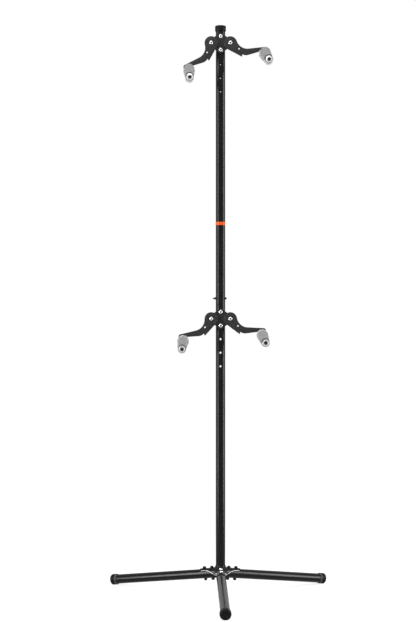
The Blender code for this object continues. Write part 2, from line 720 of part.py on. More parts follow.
def make_mount(level, stand, meshes):
    """Plate, saddles and centre bolts of one mount, with its two arms."""
    height = MOUNT_HEIGHTS[level]
    mount = place("mount_" + level, None, stand_parts, stand, (0, 0, height))
    facing = (90, 0, 0)
    part("centre_plate_" + level, meshes["centre_plate"], "arm_coating", mount)
    part("front_saddle_" + level, meshes["front_saddle"], "black_rubber", mount)
    part("rear_saddle_" + level, meshes["rear_saddle"], "black_rubber", mount)
    for end, rise in (("top", CENTRE_BOLT_RISE), ("bottom", -CENTRE_BOLT_RISE)):
        seat = (0, -PLATE_FRONT - GAP, rise)
        nut_place = (0, SADDLE_BACK + GAP, rise)
        part("centre_bolt_" + level + "_" + end, meshes["centre_bolt"], "bright_zinc", mount, seat, facing)
        part("centre_nut_" + level + "_" + end, meshes["nut"], "bright_zinc", mount, nut_place)
    for side_name in SIDES:
        make_arm(level, side_name, mount, meshes)


def make_arm(level, side_name, mount, meshes):
    """Pivot bolt and nut on the plate, and the arm with its cradle on the pivot's axis."""
    side = SIDES[side_name]
    ending = "_" + level + "_" + side_name
    pivot_x = side * PIVOT_SPACING
    facing = (90, 0, 0)
    bolt_seat = (pivot_x, -HEAD_SEAT, 0)
    part("pivot_bolt" + ending, meshes["pivot_bolt"], "bright_zinc", mount, bolt_seat, facing)
    part("pivot_nut" + ending, meshes["nut"], "bright_zinc", mount, (pivot_x, -SADDLE_FRONT, 0))

    turn = side * ARM_ANGLES[(level, side_name)]
    pivot = place("pivot" + ending, None, stand_parts, mount, (pivot_x, 0, 0), (0, turn, 0))
    part("arm" + ending, meshes["arm_" + side_name], "arm_coating", pivot)
    cradle_x = side * ARM_REACH
    lean = (0, -side * CRADLE_LEAN, 0)
    part("cradle" + ending, meshes["cradle"], "grey_plastic", pivot, (cradle_x, 0, 0), lean)
    bolt_seat = (cradle_x, -WASHER_SEAT - GAP, 0)
    part("cradle_bolt" + ending, meshes["cradle_bolt"], "black_oxide", pivot, bolt_seat, facing)
    nut_seat = (cradle_x, -ARM_BACK + GAP, 0)
    part("cradle_nut" + ending, meshes["nut"], "bright_zinc", pivot, nut_seat)


def make_stand():
    """Whole stand, its pole set back so that the origin is the middle of the footprint."""
    level_share = cos(radians(LEG_SLOPE))
    front_reach = footprint_reach(level_share)
    back_reach = footprint_reach(level_share * cos(radians(60)))
    stand = place("stand_origin", None, stand_parts, None, (0, (front_reach - back_reach) / 2, 0))
    make_base(stand)
    make_pole(stand)
    meshes = mount_meshes()
    for level in MOUNT_HEIGHTS:
        make_mount(level, stand, meshes)


make_stand()
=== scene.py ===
# %% [markdown]
# # A tower stand with two pairs of arms
# The stand is a black steel pole on three legs, with two mounts that each carry a pair of arms, and a grey
# moulded cradle on each arm. The solids come from the CAD model and stay where they are. This notebook
# makes a finer piece for most of them, gives every surface its finish, and sets up the floor, the light and
# the camera. Lengths are in metres, +Z is up, and the front of the stand faces -Y.

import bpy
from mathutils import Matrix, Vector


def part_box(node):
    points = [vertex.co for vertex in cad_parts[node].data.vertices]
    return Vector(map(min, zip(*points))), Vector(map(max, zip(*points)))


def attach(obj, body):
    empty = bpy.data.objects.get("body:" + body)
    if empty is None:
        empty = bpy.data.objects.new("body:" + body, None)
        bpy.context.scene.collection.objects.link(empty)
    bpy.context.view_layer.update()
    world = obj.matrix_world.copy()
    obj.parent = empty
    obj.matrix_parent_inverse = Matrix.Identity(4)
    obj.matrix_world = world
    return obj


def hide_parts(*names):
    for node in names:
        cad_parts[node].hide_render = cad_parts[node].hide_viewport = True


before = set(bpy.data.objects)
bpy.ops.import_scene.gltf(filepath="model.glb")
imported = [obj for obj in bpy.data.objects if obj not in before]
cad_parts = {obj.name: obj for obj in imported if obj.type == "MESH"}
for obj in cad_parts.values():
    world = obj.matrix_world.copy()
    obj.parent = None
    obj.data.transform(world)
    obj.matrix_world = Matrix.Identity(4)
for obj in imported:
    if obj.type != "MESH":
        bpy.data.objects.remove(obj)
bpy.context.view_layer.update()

# %% Modules
from math import acos, atan2, ceil, cos, degrees, pi, radians, sin, tan

import bmesh
import bpy
from mathutils import Matrix, Vector
from mathutils.geometry import tessellate_polygon

# %% [markdown]
# ## Where things are
# A finer piece has to lie exactly where its solid lies. The pole's axis, the mounts' heights and the arms'
# angles could be typed in again, but they are measured on the solids here, because a measured value can't
# go out of date. The sizes of the sections are repeated from the CAD source.

# %% Measure the axes
def middle(node_name):
    """Middle of a CAD node's box."""
    low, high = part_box(node_name)
    return (low + high) / 2


POLE_Y = middle("lower_pole").y
AT_POLE = Matrix.Translation((0, POLE_Y, 0))
LEVELS = {level: middle("centre_plate_" + level).z for level in ("lower", "upper")}
SIDES = {"left": -1, "right": 1}
ARM_ANGLES = {}
for level in LEVELS:
    for side_name, side in SIDES.items():
        reach = middle(f"cradle_bolt_{level}_{side_name}") - middle(f"pivot_bolt_{level}_{side_name}")
        ARM_ANGLES[level, side_name] = atan2(-reach.z, side * reach.x)
print("pole axis at y =", round(POLE_Y, 4), "mounts at", LEVELS)
print("arms below level:", {arm: round(degrees(angle), 1) for arm, angle in ARM_ANGLES.items()})

# %% [markdown]
# ## Helpers for nodes
# Materials and Geometry Nodes are both trees of nodes. Each node could be made and linked by hand, line by
# line. One small function that makes a node, sets it and feeds its inputs keeps each tree readable, and two
# more hand on the output that the next node takes.

# %% Nodes with their inputs
def add_node(tree, kind, feeds=None, **settings):
    """Add a node. feeds gives each input a value, another node's output, or a list of outputs."""
    made = tree.nodes.new(kind)
    for key, value in settings.items():
        setattr(made, key, value)
    for socket, source in (feeds or {}).items():
        for one in source if isinstance(source, list) else [source]:
            if isinstance(one, bpy.types.NodeSocket):
                tree.links.new(one, made.inputs[socket])
            else:
                made.inputs[socket].default_value = one
    return made


def output_of(tree, kind, feeds=None, which=0, **settings):
    """Output of a new node, by its number or name."""
    return add_node(tree, kind, feeds, **settings).outputs[which]


def calculated(tree, operation, *values):
    """Output of a new Math node."""
    return output_of(tree, "ShaderNodeMath", dict(enumerate(values)), operation=operation)


# %% [markdown]
# ## Finishes
# Powder coating is never one flat colour: it has faint cloudy patches, and a fine skin like orange peel that
# breaks up reflections. Both could be painted as pictures, but noise on the piece's own coordinates has no
# seams and no lost sharpness. Each finish gets two shades in patches of a real size, a roughness that
# wanders a little, and a grain of a real height as bump. The same recipe does for rubber, plastic and zinc,
# and for the finishes that paint light or shade: a darker plate, a lighter lip, bright skirt edges and dark
# sockets. The blacks have a lower index of refraction than real paint, which keeps their reflections as
# weak as they are on the real stand.

# %% One recipe for all finishes
SHADE_SPOTS = (0.36, 0.64)
WANDER_SIZE, WANDER_SPAN = 1.7, (0.3, 0.7)


def cloud(tree, size, detail=2.0):
    """Noise of about one patch for each size, in metres, on the piece's own coordinates."""
    place = output_of(tree, "ShaderNodeTexCoord", which="Object")
    return output_of(tree, "ShaderNodeTexNoise", {"Vector": place, "Scale": 1 / size, "Detail": detail})


def new_finish(name, shades, patch, roughness, grain, height, ior=1.45, metallic=0.0):
    """Material with two shades in patches, a range of roughness, and a grain of a given size and height."""
    material = bpy.data.materials.new(name)
    material.use_nodes = True
    tree = material.node_tree
    shader = tree.nodes["Principled BSDF"]
    shader.inputs["Metallic"].default_value = metallic
    shader.inputs["IOR"].default_value = ior

    ramp = add_node(tree, "ShaderNodeValToRGB", {"Fac": cloud(tree, patch)})
    for element, spot, shade in zip(ramp.color_ramp.elements, SHADE_SPOTS, shades):
        element.position = spot
        element.color = (*shade, 1.0)
    wander = {"Value": cloud(tree, WANDER_SIZE * patch), "From Min": WANDER_SPAN[0], "From Max": WANDER_SPAN[1],
              "To Min": roughness[0], "To Max": roughness[1]}
    relief = {"Height": cloud(tree, grain, 1.0), "Distance": height, "Strength": 1.0}
    for made, socket in ((ramp.outputs["Color"], "Base Color"),
                         (output_of(tree, "ShaderNodeMapRange", wander, "Result"), "Roughness"),
                         (output_of(tree, "ShaderNodeBump", relief, "Normal"), "Normal")):
        tree.links.new(made, shader.inputs[socket])
    return material


# %% The stand's finishes
def grey(value, tint=0.0):
    """Linear colour of a neutral grey, a little bluer with a tint above 0."""
    return (value, value * (1 + tint / 2), value * (1 + tint))


# Each line of numbers: shades and the size of their patches; roughness, and the size and height of the grain.
FINISHES = {
    "black_paint": new_finish("satin_black_paint", (grey(0.0014), grey(0.0030)), 0.030,
                              (0.17, 0.22), 0.0014, 0.000008, ior=1.225),
    "arm_coating": new_finish("textured_arm_coating", (grey(0.008), grey(0.020)), 0.0045,
                              (0.42, 0.54), 0.0012, 0.00009, ior=1.24),
    "grey_plastic": new_finish("grained_grey_plastic", (grey(0.80), grey(0.92)), 0.012,
                               (0.36, 0.46), 0.0008, 0.00005, ior=1.35),
    "black_rubber": new_finish("moulded_black_rubber", (grey(0.0024), grey(0.0045)), 0.009,
                               (0.34, 0.46), 0.0006, 0.00003, ior=1.17),
    "bright_zinc": new_finish("plated_bright_zinc", (grey(0.52, -0.02), grey(0.62, 0.02)), 0.004,
                              (0.20, 0.28), 0.0005, 0.000002, metallic=1.0),
    "black_oxide": new_finish("black_oxide_steel", (grey(0.008), grey(0.015)), 0.003,
                              (0.28, 0.38), 0.0005, 0.000004, ior=1.3, metallic=0.2),
}
# Painted shade: the arms' coating made darker for the mount plates, which lie between and behind the arms.
PLATE_COATING_WITH_PAINTED_SHADE = new_finish("textured_plate_coating", (grey(0.006), grey(0.018)), 0.0045,
                           (0.42, 0.54), 0.0012, 0.00009, ior=1.22)
BAND_ORANGE = new_finish("orange_band", ((0.42, 0.050, 0.004), (0.47, 0.062, 0.006)), 0.010,
                         (0.34, 0.42), 0.0015, 0.000006, ior=1.25)
# Painted highlight: a light metallic finish for the bead along each skirt's edge.
SKIRT_EDGE_HIGHLIGHT = new_finish("bare_pressed_edge", (grey(0.42), grey(0.52)), 0.004,
                       (0.40, 0.50), 0.0006, 0.00001, metallic=0.5)
# Painted shade: a dark finish for the insides of the bolts' sockets. The leg bolts' washers get it too.
SOCKET_SHADE_AND_DARK_WASHER = new_finish("oiled_black_steel", (grey(0.006), grey(0.012)), 0.002,
                         (0.45, 0.60), 0.0004, 0.00001, ior=1.2)
# Painted highlight: a lighter rubber for the lip at a foot's mouth.
LIP_HIGHLIGHT = new_finish("dusty_rubber_lip", (grey(0.022), grey(0.042)), 0.004,
                       (0.45, 0.60), 0.0006, 0.00003, ior=1.3)
print("finishes:", sorted(FINISHES))

# %% [markdown]
# ## Helpers for shapes
# A modifier could stay on a piece, but then its mesh isn't final and others can't measure it. Here a shape
# is made on a helper object, its modifiers are applied by copying the evaluated mesh, and the helper goes.

# %% From a helper object to a mesh
def on_bench(name, data):
    """Helper object in the scene."""
    helper = bpy.data.objects.new(name, data)
    bpy.context.scene.collection.objects.link(helper)
    return helper


def taken_off(helper):
    """Mesh of a helper with its modifiers applied. The helper is removed."""
    graph = bpy.context.evaluated_depsgraph_get()
    mesh = bpy.data.meshes.new_from_object(helper.evaluated_get(graph))
    bpy.data.objects.remove(helper)
    return mesh


def shaped(mesh, *steps):
    """Mesh after modifiers, each given as its kind and its settings."""
    helper = on_bench(mesh.name, mesh)
    for kind, settings in steps:
        modifier = helper.modifiers.new(kind.lower(), kind)
        for key, value in settings.items():
            setattr(modifier, key, value)
    return taken_off(helper)


def combined(base, *steps):
    """Mesh after Boolean steps, each given as its operation and the other mesh."""
    tools = [on_bench(mesh.name, mesh) for _, mesh in steps]
    settings = [{"operation": step[0], "solver": "EXACT", "object": tool} for step, tool in zip(steps, tools)]
    result = shaped(base, *[("BOOLEAN", setting) for setting in settings])
    for tool in tools:
        bpy.data.objects.remove(tool)
    return result


def moved(mesh, matrix):
    """The same mesh after a move or turn."""
    mesh.transform(matrix)
    return mesh


# %% Meshes from points and faces
WELD_DISTANCE = 0.000001


def reworked(mesh, work):
    """The same mesh after some work on it as a bmesh."""
    form = bmesh.new()
    form.from_mesh(mesh)
    work(form)
    form.to_mesh(mesh)
    form.free()
    return mesh


def mesh_from(name, points, faces):
    """Mesh from points and faces, welded, its faces pointing outwards."""
    def weld(form):
        bmesh.ops.remove_doubles(form, verts=form.verts, dist=WELD_DISTANCE)
        bmesh.ops.recalc_face_normals(form, faces=form.faces)

    mesh = bpy.data.meshes.new(name)
    mesh.from_pydata(points, [], faces)
    return reworked(mesh, weld)


# %% [markdown]
# ## Turned shapes
# Tubes, caps, collars and bolt heads are round about one axis. A Screw modifier or a lathe curve would do;
# plain rings of points do the same and leave the poles closed with one point each. Corners of the section
# are rounded first, because an edge that catches no light looks cut from paper.

# %% Rounded chains and turned meshes
ARC_STEP = radians(7.5)


def arc(centre, radius, start, turn, step=ARC_STEP):
    """Points along an arc."""
    count = max(2, ceil(abs(turn) / step))
    angles = [start + turn * index / count for index in range(count + 1)]
    return [(centre[0] + radius * cos(angle), centre[1] + radius * sin(angle)) for angle in angles]


def rounded(corners, closed=True, step=ARC_STEP):
    """Chain through corners (x, y, radius), each rounded to its radius."""
    chain = []
    for index, (x, y, radius) in enumerate(corners):
        if radius == 0 or not (closed or 0 < index < len(corners) - 1):
            chain.append((x, y))
            continue
        here = Vector((x, y))
        back = (Vector(corners[index - 1][:2]) - here).normalized()
        ahead = (Vector(corners[(index + 1) % len(corners)][:2]) - here).normalized()
        half = back.angle(ahead) / 2
        centre = here + (back + ahead).normalized() * radius / sin(half)
        start = here + back * radius / tan(half) - centre
        end = here + ahead * radius / tan(half) - centre
        turn = atan2(start.cross(end), start.dot(end))
        chain += arc(centre, radius, atan2(start.y, start.x), turn, step)
    return chain


def turned(name, section, sides=96, closed=False):
    """Mesh turned about Z from (radius, height) points. An end on the axis becomes one point."""
    rings = []
    points = []
    for radius, height in section:
        count = 1 if radius == 0 else sides
        rings.append([len(points) + index % count for index in range(sides)])
        for index in range(count):
            angle = 2 * pi * index / sides
            points.append((radius * cos(angle), radius * sin(angle), height))
    faces = []
    for lower, upper in zip(rings, rings[1:] + rings[:1] if closed else rings[1:]):
        for index in range(sides):
            after = (index + 1) % sides
            face = list(dict.fromkeys((lower[index], lower[after], upper[after], upper[index])))
            if len(face) > 2:
                faces.append(face)
    return mesh_from(name, points, faces)


def round_bar(name, radius, low, high, sides):
    """Upright round bar between two heights."""
    return turned(name, [(0, low), (radius, low), (radius, high), (0, high)], sides)


# %% [markdown]
# ## Finished pieces
# Every piece ends the same way: smooth shading with sharp edges kept, its finish, the body that it moves
# with, and the CAD nodes that it stands for. Some pieces have two finishes, as a foot has with the painted
# highlight on its lip. They could be split in two, but marked faces keep them whole.

# %% Finish a piece
def finish_piece(name, mesh, body, slot, *replaced, sharp=38, material=None, inlay=None):
    """Object from a final mesh that rides on a body and stands for CAD nodes. Marked faces get the inlay."""
    mesh.name = name
    mesh.shade_smooth()
    mesh.set_sharp_from_angle(angle=radians(sharp))
    mesh.materials.clear()
    mesh.materials.append(material or FINISHES[slot])
    if inlay:
        mesh.materials.append(inlay)
        for face, mark in zip(mesh.polygons, mesh.attributes["inlay"].data):
            face.material_index = int(mark.value)
    piece = on_bench(name, mesh)
    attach(piece, body)
    if replaced:
        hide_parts(*replaced)
    mesh.calc_loop_triangles()
    print(f"{name}: {len(mesh.loop_triangles)} triangles, on {body}")


# %% Mark faces for a second finish
def marked(mesh, wanted):
    """The same mesh, its faces marked for the inlay where their middle is wanted."""
    marks = mesh.attributes.new("inlay", "BOOLEAN", "FACE")
    for face in mesh.polygons:
        marks.data[face.index].value = wanted(face.center, face.normal)
    return mesh


# %% [markdown]
# ## Perforated tubes
# The two pole tubes each have a row of five holes, so that the mounts can be bolted at other heights, and
# each leg has two. The holes could be cut one by one. A Geometry Nodes tree does it for any tube: a line of
# points carries a drill on each, and one Mesh Boolean takes the bore and all drills out of the bar.

# %% Trees that take named inputs
SOCKETS = {float: "NodeSocketFloat", int: "NodeSocketInt", str: "NodeSocketMaterial", object: "NodeSocketObject"}


def new_tree(name, inputs):
    """Geometry Nodes tree with named inputs. Returns it and its inputs' sockets."""
    tree = bpy.data.node_groups.new(name, "GeometryNodeTree")
    tree.interface.new_socket(name="Geometry", in_out="INPUT", socket_type="NodeSocketGeometry")
    tree.interface.new_socket(name="Geometry", in_out="OUTPUT", socket_type="NodeSocketGeometry")
    for label, kind in inputs.items():
        tree.interface.new_socket(name=label, in_out="INPUT", socket_type=SOCKETS[kind])
    print(f"tree {name} takes:", ", ".join(inputs))
    return tree, tree.nodes.new("NodeGroupInput").outputs


def close_tree(tree, geometry, material):
    """End a tree in Realize Instances and Set Material."""
    real = output_of(tree, "GeometryNodeRealizeInstances", {"Geometry": geometry})
    painted = output_of(tree, "GeometryNodeSetMaterial", {"Geometry": real, "Material": material})
    tree.links.new(painted, tree.nodes.new("NodeGroupOutput").inputs[0])


def grown(name, tree, values, mesh=None):
    """Mesh that a tree makes from its named values."""
    helper = on_bench(name, mesh or bpy.data.meshes.new(name))
    modifier = helper.modifiers.new("nodes", "NODES")
    modifier.node_group = tree
    for item in tree.interface.items_tree:
        if item.in_out == "INPUT" and item.name in values:
            modifier[item.identifier] = values[item.name]
    return taken_off(helper)


# %% The perforated tube
DRILL_LENGTH, DRILL_SIDES, BORE_OVERRUN = 0.1, 40, 0.01
tube_tree, given = new_tree("perforated_tube", {
    "Outer Radius": float, "Bore Radius": float, "Bottom": float, "Length": float, "Sides": int, "Rings": int,
    "Hole Radius": float, "Hole Count": int, "First Hole": float, "Hole Pitch": float, "Finish": str})


def upwards(value):
    """Vector along Z in the tube's tree."""
    return output_of(tube_tree, "ShaderNodeCombineXYZ", {"Z": value})


def tube_bar(radius, extra):
    """Upright bar of the tree's length, with a little more at both ends."""
    length = calculated(tube_tree, "ADD", given["Length"], extra)
    feeds = {"Vertices": given["Sides"], "Side Segments": given["Rings"], "Radius": radius, "Depth": length}
    upright_bar = output_of(tube_tree, "GeometryNodeMeshCylinder", feeds, "Mesh")
    rise = calculated(tube_tree, "MULTIPLY_ADD", given["Length"], 0.5, given["Bottom"])
    return output_of(tube_tree, "GeometryNodeTransform", {"Geometry": upright_bar, "Translation": upwards(rise)})


row = output_of(tube_tree, "GeometryNodeMeshLine",
                {"Count": given["Hole Count"], "Start Location": upwards(given["First Hole"]),
                 "Offset": upwards(given["Hole Pitch"])})
drill = output_of(tube_tree, "GeometryNodeMeshCylinder",
                  {"Vertices": DRILL_SIDES, "Radius": given["Hole Radius"], "Depth": DRILL_LENGTH}, "Mesh")
drills = output_of(tube_tree, "GeometryNodeInstanceOnPoints",
                   {"Points": row, "Instance": drill, "Rotation": (pi / 2, 0, 0)})
drills = output_of(tube_tree, "GeometryNodeRealizeInstances", {"Geometry": drills})
bar, bore = tube_bar(given["Outer Radius"], 0.0), tube_bar(given["Bore Radius"], BORE_OVERRUN)
cut = output_of(tube_tree, "GeometryNodeMeshBoolean", {"Mesh 1": bar, "Mesh 2": [bore, drills]}, "Mesh",
                operation="DIFFERENCE", solver="EXACT")
close_tree(tube_tree, cut, given["Finish"])

# %% [markdown]
# ## Pole
# Two 40 mm steel tubes stand end to end over a hidden sleeve, and the small V where their edges meet is
# visible all round. The tubes are grown from the tree; a narrow Bevel then breaks the edges of the ends and
# of the holes, as tumbling and paint do on the real tubes.

# %% Pole tubes
TUBE_RADIUS, TUBE_BORE = 0.0200, 0.0180
HOLE_PITCH, HOLE_RADIUS, HOLE_COUNT = 0.0570, 0.0045, 5
TUBE_SIDES, RING_SPACING = 96, 0.0095
BROKEN_EDGE = {"width": 0.0006, "segments": 2, "limit_method": "ANGLE", "angle_limit": radians(50)}
SLIVER_LENGTH = 0.000004


def without_slivers(mesh):
    """The same mesh, its edges of almost no length closed up."""
    return reworked(mesh, lambda form: bmesh.ops.dissolve_degenerate(form, edges=form.edges, dist=SLIVER_LENGTH))


def tube(name, low, high, count, first_hole, hole_pitch, hole_radius=HOLE_RADIUS):
    """Perforated tube along Z, its edges broken."""
    mesh = grown(name, tube_tree, {
        "Outer Radius": TUBE_RADIUS, "Bore Radius": TUBE_BORE, "Bottom": low, "Length": high - low,
        "Sides": TUBE_SIDES, "Rings": round((high - low) / RING_SPACING), "Hole Radius": hole_radius,
        "Hole Count": count, "First Hole": first_hole, "Hole Pitch": hole_pitch,
        "Finish": FINISHES["black_paint"]})
    return without_slivers(shaped(mesh, ("BEVEL", BROKEN_EDGE)))


for level, height in LEVELS.items():
    low, high = (corner.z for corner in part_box(level + "_pole"))
    pole_tube = tube("pole_tube_" + level, low, high, HOLE_COUNT, height + HOLE_PITCH / 2, -HOLE_PITCH)
    finish_piece("pole_tube_" + level, moved(pole_tube, AT_POLE), "stand", "black_paint", level + "_pole")

# %% [markdown]
# ## Pole cap and orange band
# The cap is soft rubber, a little wider than the tube, so all its corners are round. A band of orange
# film is wrapped round the upper tube; it is thin, but it still needs an edge of its own.

# %% Pole cap and band
END_WALL, FIT_RADIUS = 0.0033, 0.0203
cap_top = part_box("top_cap")[1].z
cap_section = rounded([
    (0, 0, 0), (0.0212, 0, 0.0030), (0.0229, -0.0018, 0.0010), (0.0230, -0.0060, 0.004),
    (0.0230, -0.0200, 0.003), (0.0213, -0.0245, 0.0006), (FIT_RADIUS, -0.0245, 0.0003),
    (FIT_RADIUS, -END_WALL, 0.001), (0, -END_WALL, 0)], closed=False)
cap_mesh = moved(turned("pole_cap", cap_section), Matrix.Translation((0, POLE_Y, cap_top)))
finish_piece("pole_cap", cap_mesh, "stand", "black_rubber", "top_cap")

BAND_LOW, BAND_HIGH = 1.5526, 1.5660
FILM_BACK, FILM_FRONT, FILM_EDGE = TUBE_RADIUS + 0.00002, TUBE_RADIUS + 0.00016, 0.0001
band_section = rounded([(FILM_BACK, BAND_LOW, 0), (FILM_FRONT, BAND_LOW, FILM_EDGE),
                        (FILM_FRONT, BAND_HIGH, FILM_EDGE), (FILM_BACK, BAND_HIGH, 0)], closed=False)
band_mesh = moved(turned("orange_band", band_section, closed=True), AT_POLE)
finish_piece("orange_band", band_mesh, "stand", "black_paint", material=BAND_ORANGE)

# %% [markdown]
# ## Legs and feet
# Each leg is a 40 mm tube that slopes down from the hub. One matrix per leg puts +Z along it, so all pieces
# of a leg are made upright and then laid down together. The rubber foot is turned like the pole cap, with a
# groove round it and rings on its end, and is cut flat where it stands on the floor.

# %% Leg tubes
LEG_AZIMUTHS = {"front": -90.0, "right": 30.0, "left": 150.0}
LEG_SLOPE, LEG_HEIGHT = 7.7, 0.0935
LEG_START, LEG_LENGTH = 0.0240, 0.5416
LEG_BOLT_PLACES = (0.0385, 0.0745)
BOLT_HOLE, FIT_GAP = 0.0043, 0.0003
QUARTER_TURN = Matrix.Rotation(radians(90), 4, "Z")


def leg_frame(azimuth):
    """Matrix that lays an upright shape along a leg, -X becoming the leg's upper side."""
    return (Matrix.Translation((0, POLE_Y, LEG_HEIGHT)) @ Matrix.Rotation(radians(azimuth), 4, "Z")
            @ Matrix.Rotation(radians(90 + LEG_SLOPE), 4, "Y"))


leg_end = LEG_LENGTH - END_WALL - FIT_GAP
bolt_pitch = LEG_BOLT_PLACES[1] - LEG_BOLT_PLACES[0]
for way, azimuth in LEG_AZIMUTHS.items():
    leg_tube = tube("leg_tube_" + way, LEG_START, leg_end, 2, LEG_BOLT_PLACES[0], bolt_pitch, BOLT_HOLE)
    finish_piece("leg_tube_" + way, moved(leg_tube, leg_frame(azimuth) @ QUARTER_TURN), "stand", "black_paint",
                 "leg_" + way)

# %% Rubber feet
LIP_TOP = -0.0245
foot_section = rounded([
    (0, -0.0010, 0), (0.0040, -0.0010, 0.0003), (0.0044, -0.0006, 0.0003), (0.0062, -0.0006, 0.0003),
    (0.0066, -0.0010, 0.0003), (0.0087, -0.0010, 0.0004), (0.0096, 0, 0.0004), (0.0122, 0, 0.0003),
    (0.0126, -0.0005, 0.0003), (0.0132, -0.0005, 0.0003), (0.0136, 0, 0.0003), (0.0152, 0, 0.004),
    (0.0197, -0.0012, 0.006), (0.0223, -0.0042, 0.004), (0.0232, -0.0080, 0.004), (0.0232, -0.0132, 0.0006),
    (0.0222, -0.0143, 0.0006), (0.0222, -0.0162, 0.0006), (0.0232, -0.0173, 0.0006), (0.0232, -0.0240, 0.006),
    (0.0222, -0.0300, 0.0014), (0.0206, -0.0310, 0.0004), (FIT_RADIUS, -0.0310, 0),
    (FIT_RADIUS, -END_WALL, 0.001), (0, -END_WALL, 0)], closed=False)


def below_floor():
    """Block under the floor, to cut a foot flat."""
    down = Matrix.Translation((0, 0, -1.0))
    return reworked(bpy.data.meshes.new("below_floor"),
                    lambda form: bmesh.ops.create_cube(form, size=2.0, matrix=down))


for way, azimuth in LEG_AZIMUTHS.items():
    # The faces near the mouth get the lighter finish, a painted highlight on the lip.
    foot = marked(turned("rubber_foot_" + way, foot_section), lambda middle, _: middle.z < LIP_TOP)
    foot.transform(leg_frame(azimuth) @ Matrix.Translation((0, 0, LEG_LENGTH)))
    foot = combined(foot, ("DIFFERENCE", below_floor()))
    finish_piece("rubber_foot_" + way, foot, "stand", "black_rubber", "foot_cap_" + way, inlay=LIP_HIGHLIGHT)

# %% [markdown]
# ## Plates
# The arms, the mounts' plates, the saddles and the cradle's flanges are all flat plates with holes. A filled
# curve could be extruded, but then the edges of the holes come out sharp. Here the outline and its holes are
# loops that shrink in a quarter circle at each face, which rounds every edge of the plate alike.

# %% Loops
MITRE_LIMIT = 0.5


def shrunk(loop, distance):
    """Loop moved towards its left side by a distance."""
    result = []
    for index, point in enumerate(loop):
        here = Vector(point)
        back = (here - Vector(loop[index - 1])).normalized()
        ahead = (Vector(loop[(index + 1) % len(loop)]) - here).normalized()
        along = (back + ahead).normalized()
        normal = Vector((-along.y, along.x))
        result.append(tuple(here + normal * distance / max(MITRE_LIMIT, along.dot(back))))
    return result


def anticlockwise(loop):
    """The loop, turned round if it runs clockwise."""
    area = sum(a[0] * b[1] - b[0] * a[1] for a, b in zip(loop, loop[1:] + loop[:1]))
    return loop if area > 0 else loop[::-1]


def circle(x, y, radius, sides=48):
    """Loop of a circle."""
    return arc((x, y), radius, 0, 2 * pi, 2 * pi / sides)[:-1]


def belt(circles):
    """Loop of a belt drawn tight round circles (x, y, radius), anticlockwise."""
    tangents = []
    for here, after in zip(circles, circles[1:] + circles[:1]):
        run = Vector(after[:2]) - Vector(here[:2])
        tangents.append(atan2(run.y, run.x) - acos((here[2] - after[2]) / run.length))
    loop = []
    for index, (x, y, radius) in enumerate(circles):
        turn = (tangents[index] - tangents[index - 1]) % (2 * pi)
        loop += arc((x, y), radius, tangents[index - 1], turn)
    return loop


# %% A plate with rounded edges
def plate(name, outline, holes, low, high, low_edge, high_edge, steps=4):
    """Plate in the XY plane between two heights, every edge rounded to its face's radius."""
    loops = [anticlockwise(outline)] + [anticlockwise(hole)[::-1] for hole in holes]
    starts = [sum(len(loop) for loop in loops[:index]) for index in range(len(loops))]
    count = sum(len(loop) for loop in loops)
    sweep = [radians(90) * index / steps for index in range(steps + 1)]
    levels = [(low_edge * (1 - sin(angle)), low + low_edge * (1 - cos(angle))) for angle in sweep]
    levels += [(high_edge * (1 - sin(angle)), high - high_edge * (1 - cos(angle))) for angle in sweep[::-1]]
    points = [(x, y, height) for inset, height in levels for loop in loops for x, y in shrunk(loop, inset)]
    faces = []
    for shift in range(0, (len(levels) - 1) * count, count):
        for start, loop in zip(starts, loops):
            for index in range(len(loop)):
                here, after = shift + start + index, shift + start + (index + 1) % len(loop)
                faces.append((here, after, after + count, here + count))
    for shift in (0, (len(levels) - 1) * count):
        flat = [[Vector(points[shift + start + index]) for index in range(len(loop))]
                for start, loop in zip(starts, loops)]
        faces += [tuple(shift + corner for corner in face) for face in tessellate_polygon(flat)]
    return mesh_from(name, points, faces)


# %% [markdown]
# ## Mounts
# Each mount is a flat rhombus in front of the pole, between two saddle blocks that fit round the tube, so
# that flat steel and nuts sit well on a round pole. Plates are drawn lying down and stood up with one
# quarter turn, which makes their thickness run forwards from the pole's axis.

# %% Mount plates and saddles
UPRIGHT = Matrix.Rotation(radians(90), 4, "X")
PIVOT_SPACING = 0.0400
BOLT_RISE = HOLE_PITCH / 2
PIVOT_EYE, BOLT_EYE = 0.0120, 0.0140
PLATE_BACK, PLATE_FRONT, PLATE_EDGES = 0.0228, 0.0268, (0.0005, 0.0008)
SADDLE_BACK, SADDLE_RISE = 0.0240, 0.06
SADDLES = {"front": (0.0080, 0.0225, 0, 0.0008), "rear": (-SADDLE_BACK, -0.0080, 0.0008, 0)}
FLAT_FACES = ("WEIGHTED_NORMAL", {"keep_sharp": True, "weight": 60})

mount_outline = belt([(PIVOT_SPACING, 0, PIVOT_EYE), (0, BOLT_RISE, BOLT_EYE),
                      (-PIVOT_SPACING, 0, PIVOT_EYE), (0, -BOLT_RISE, BOLT_EYE)])
mount_holes = [circle(x, z, BOLT_HOLE) for x, z in
               [(PIVOT_SPACING, 0), (-PIVOT_SPACING, 0), (0, BOLT_RISE), (0, -BOLT_RISE)]]
saddle_outline = rounded([(0, -0.044, 0.010), (0.0165, -0.022, 0.008), (0.0165, 0.022, 0.008),
                          (0, 0.044, 0.010), (-0.0165, 0.022, 0.008), (-0.0165, -0.022, 0.008)])
saddle_holes = [circle(0, rise, BOLT_HOLE) for rise in (-BOLT_RISE, BOLT_RISE)]


def saddle(near, far, near_edge, far_edge):
    """Block between two depths, hollowed to sit on the pole."""
    block = plate("saddle_block", saddle_outline, saddle_holes, near, far, near_edge, far_edge)
    pole = round_bar("pole_form", FIT_RADIUS, -SADDLE_RISE, SADDLE_RISE, 88)
    return combined(moved(block, UPRIGHT), ("DIFFERENCE", pole))


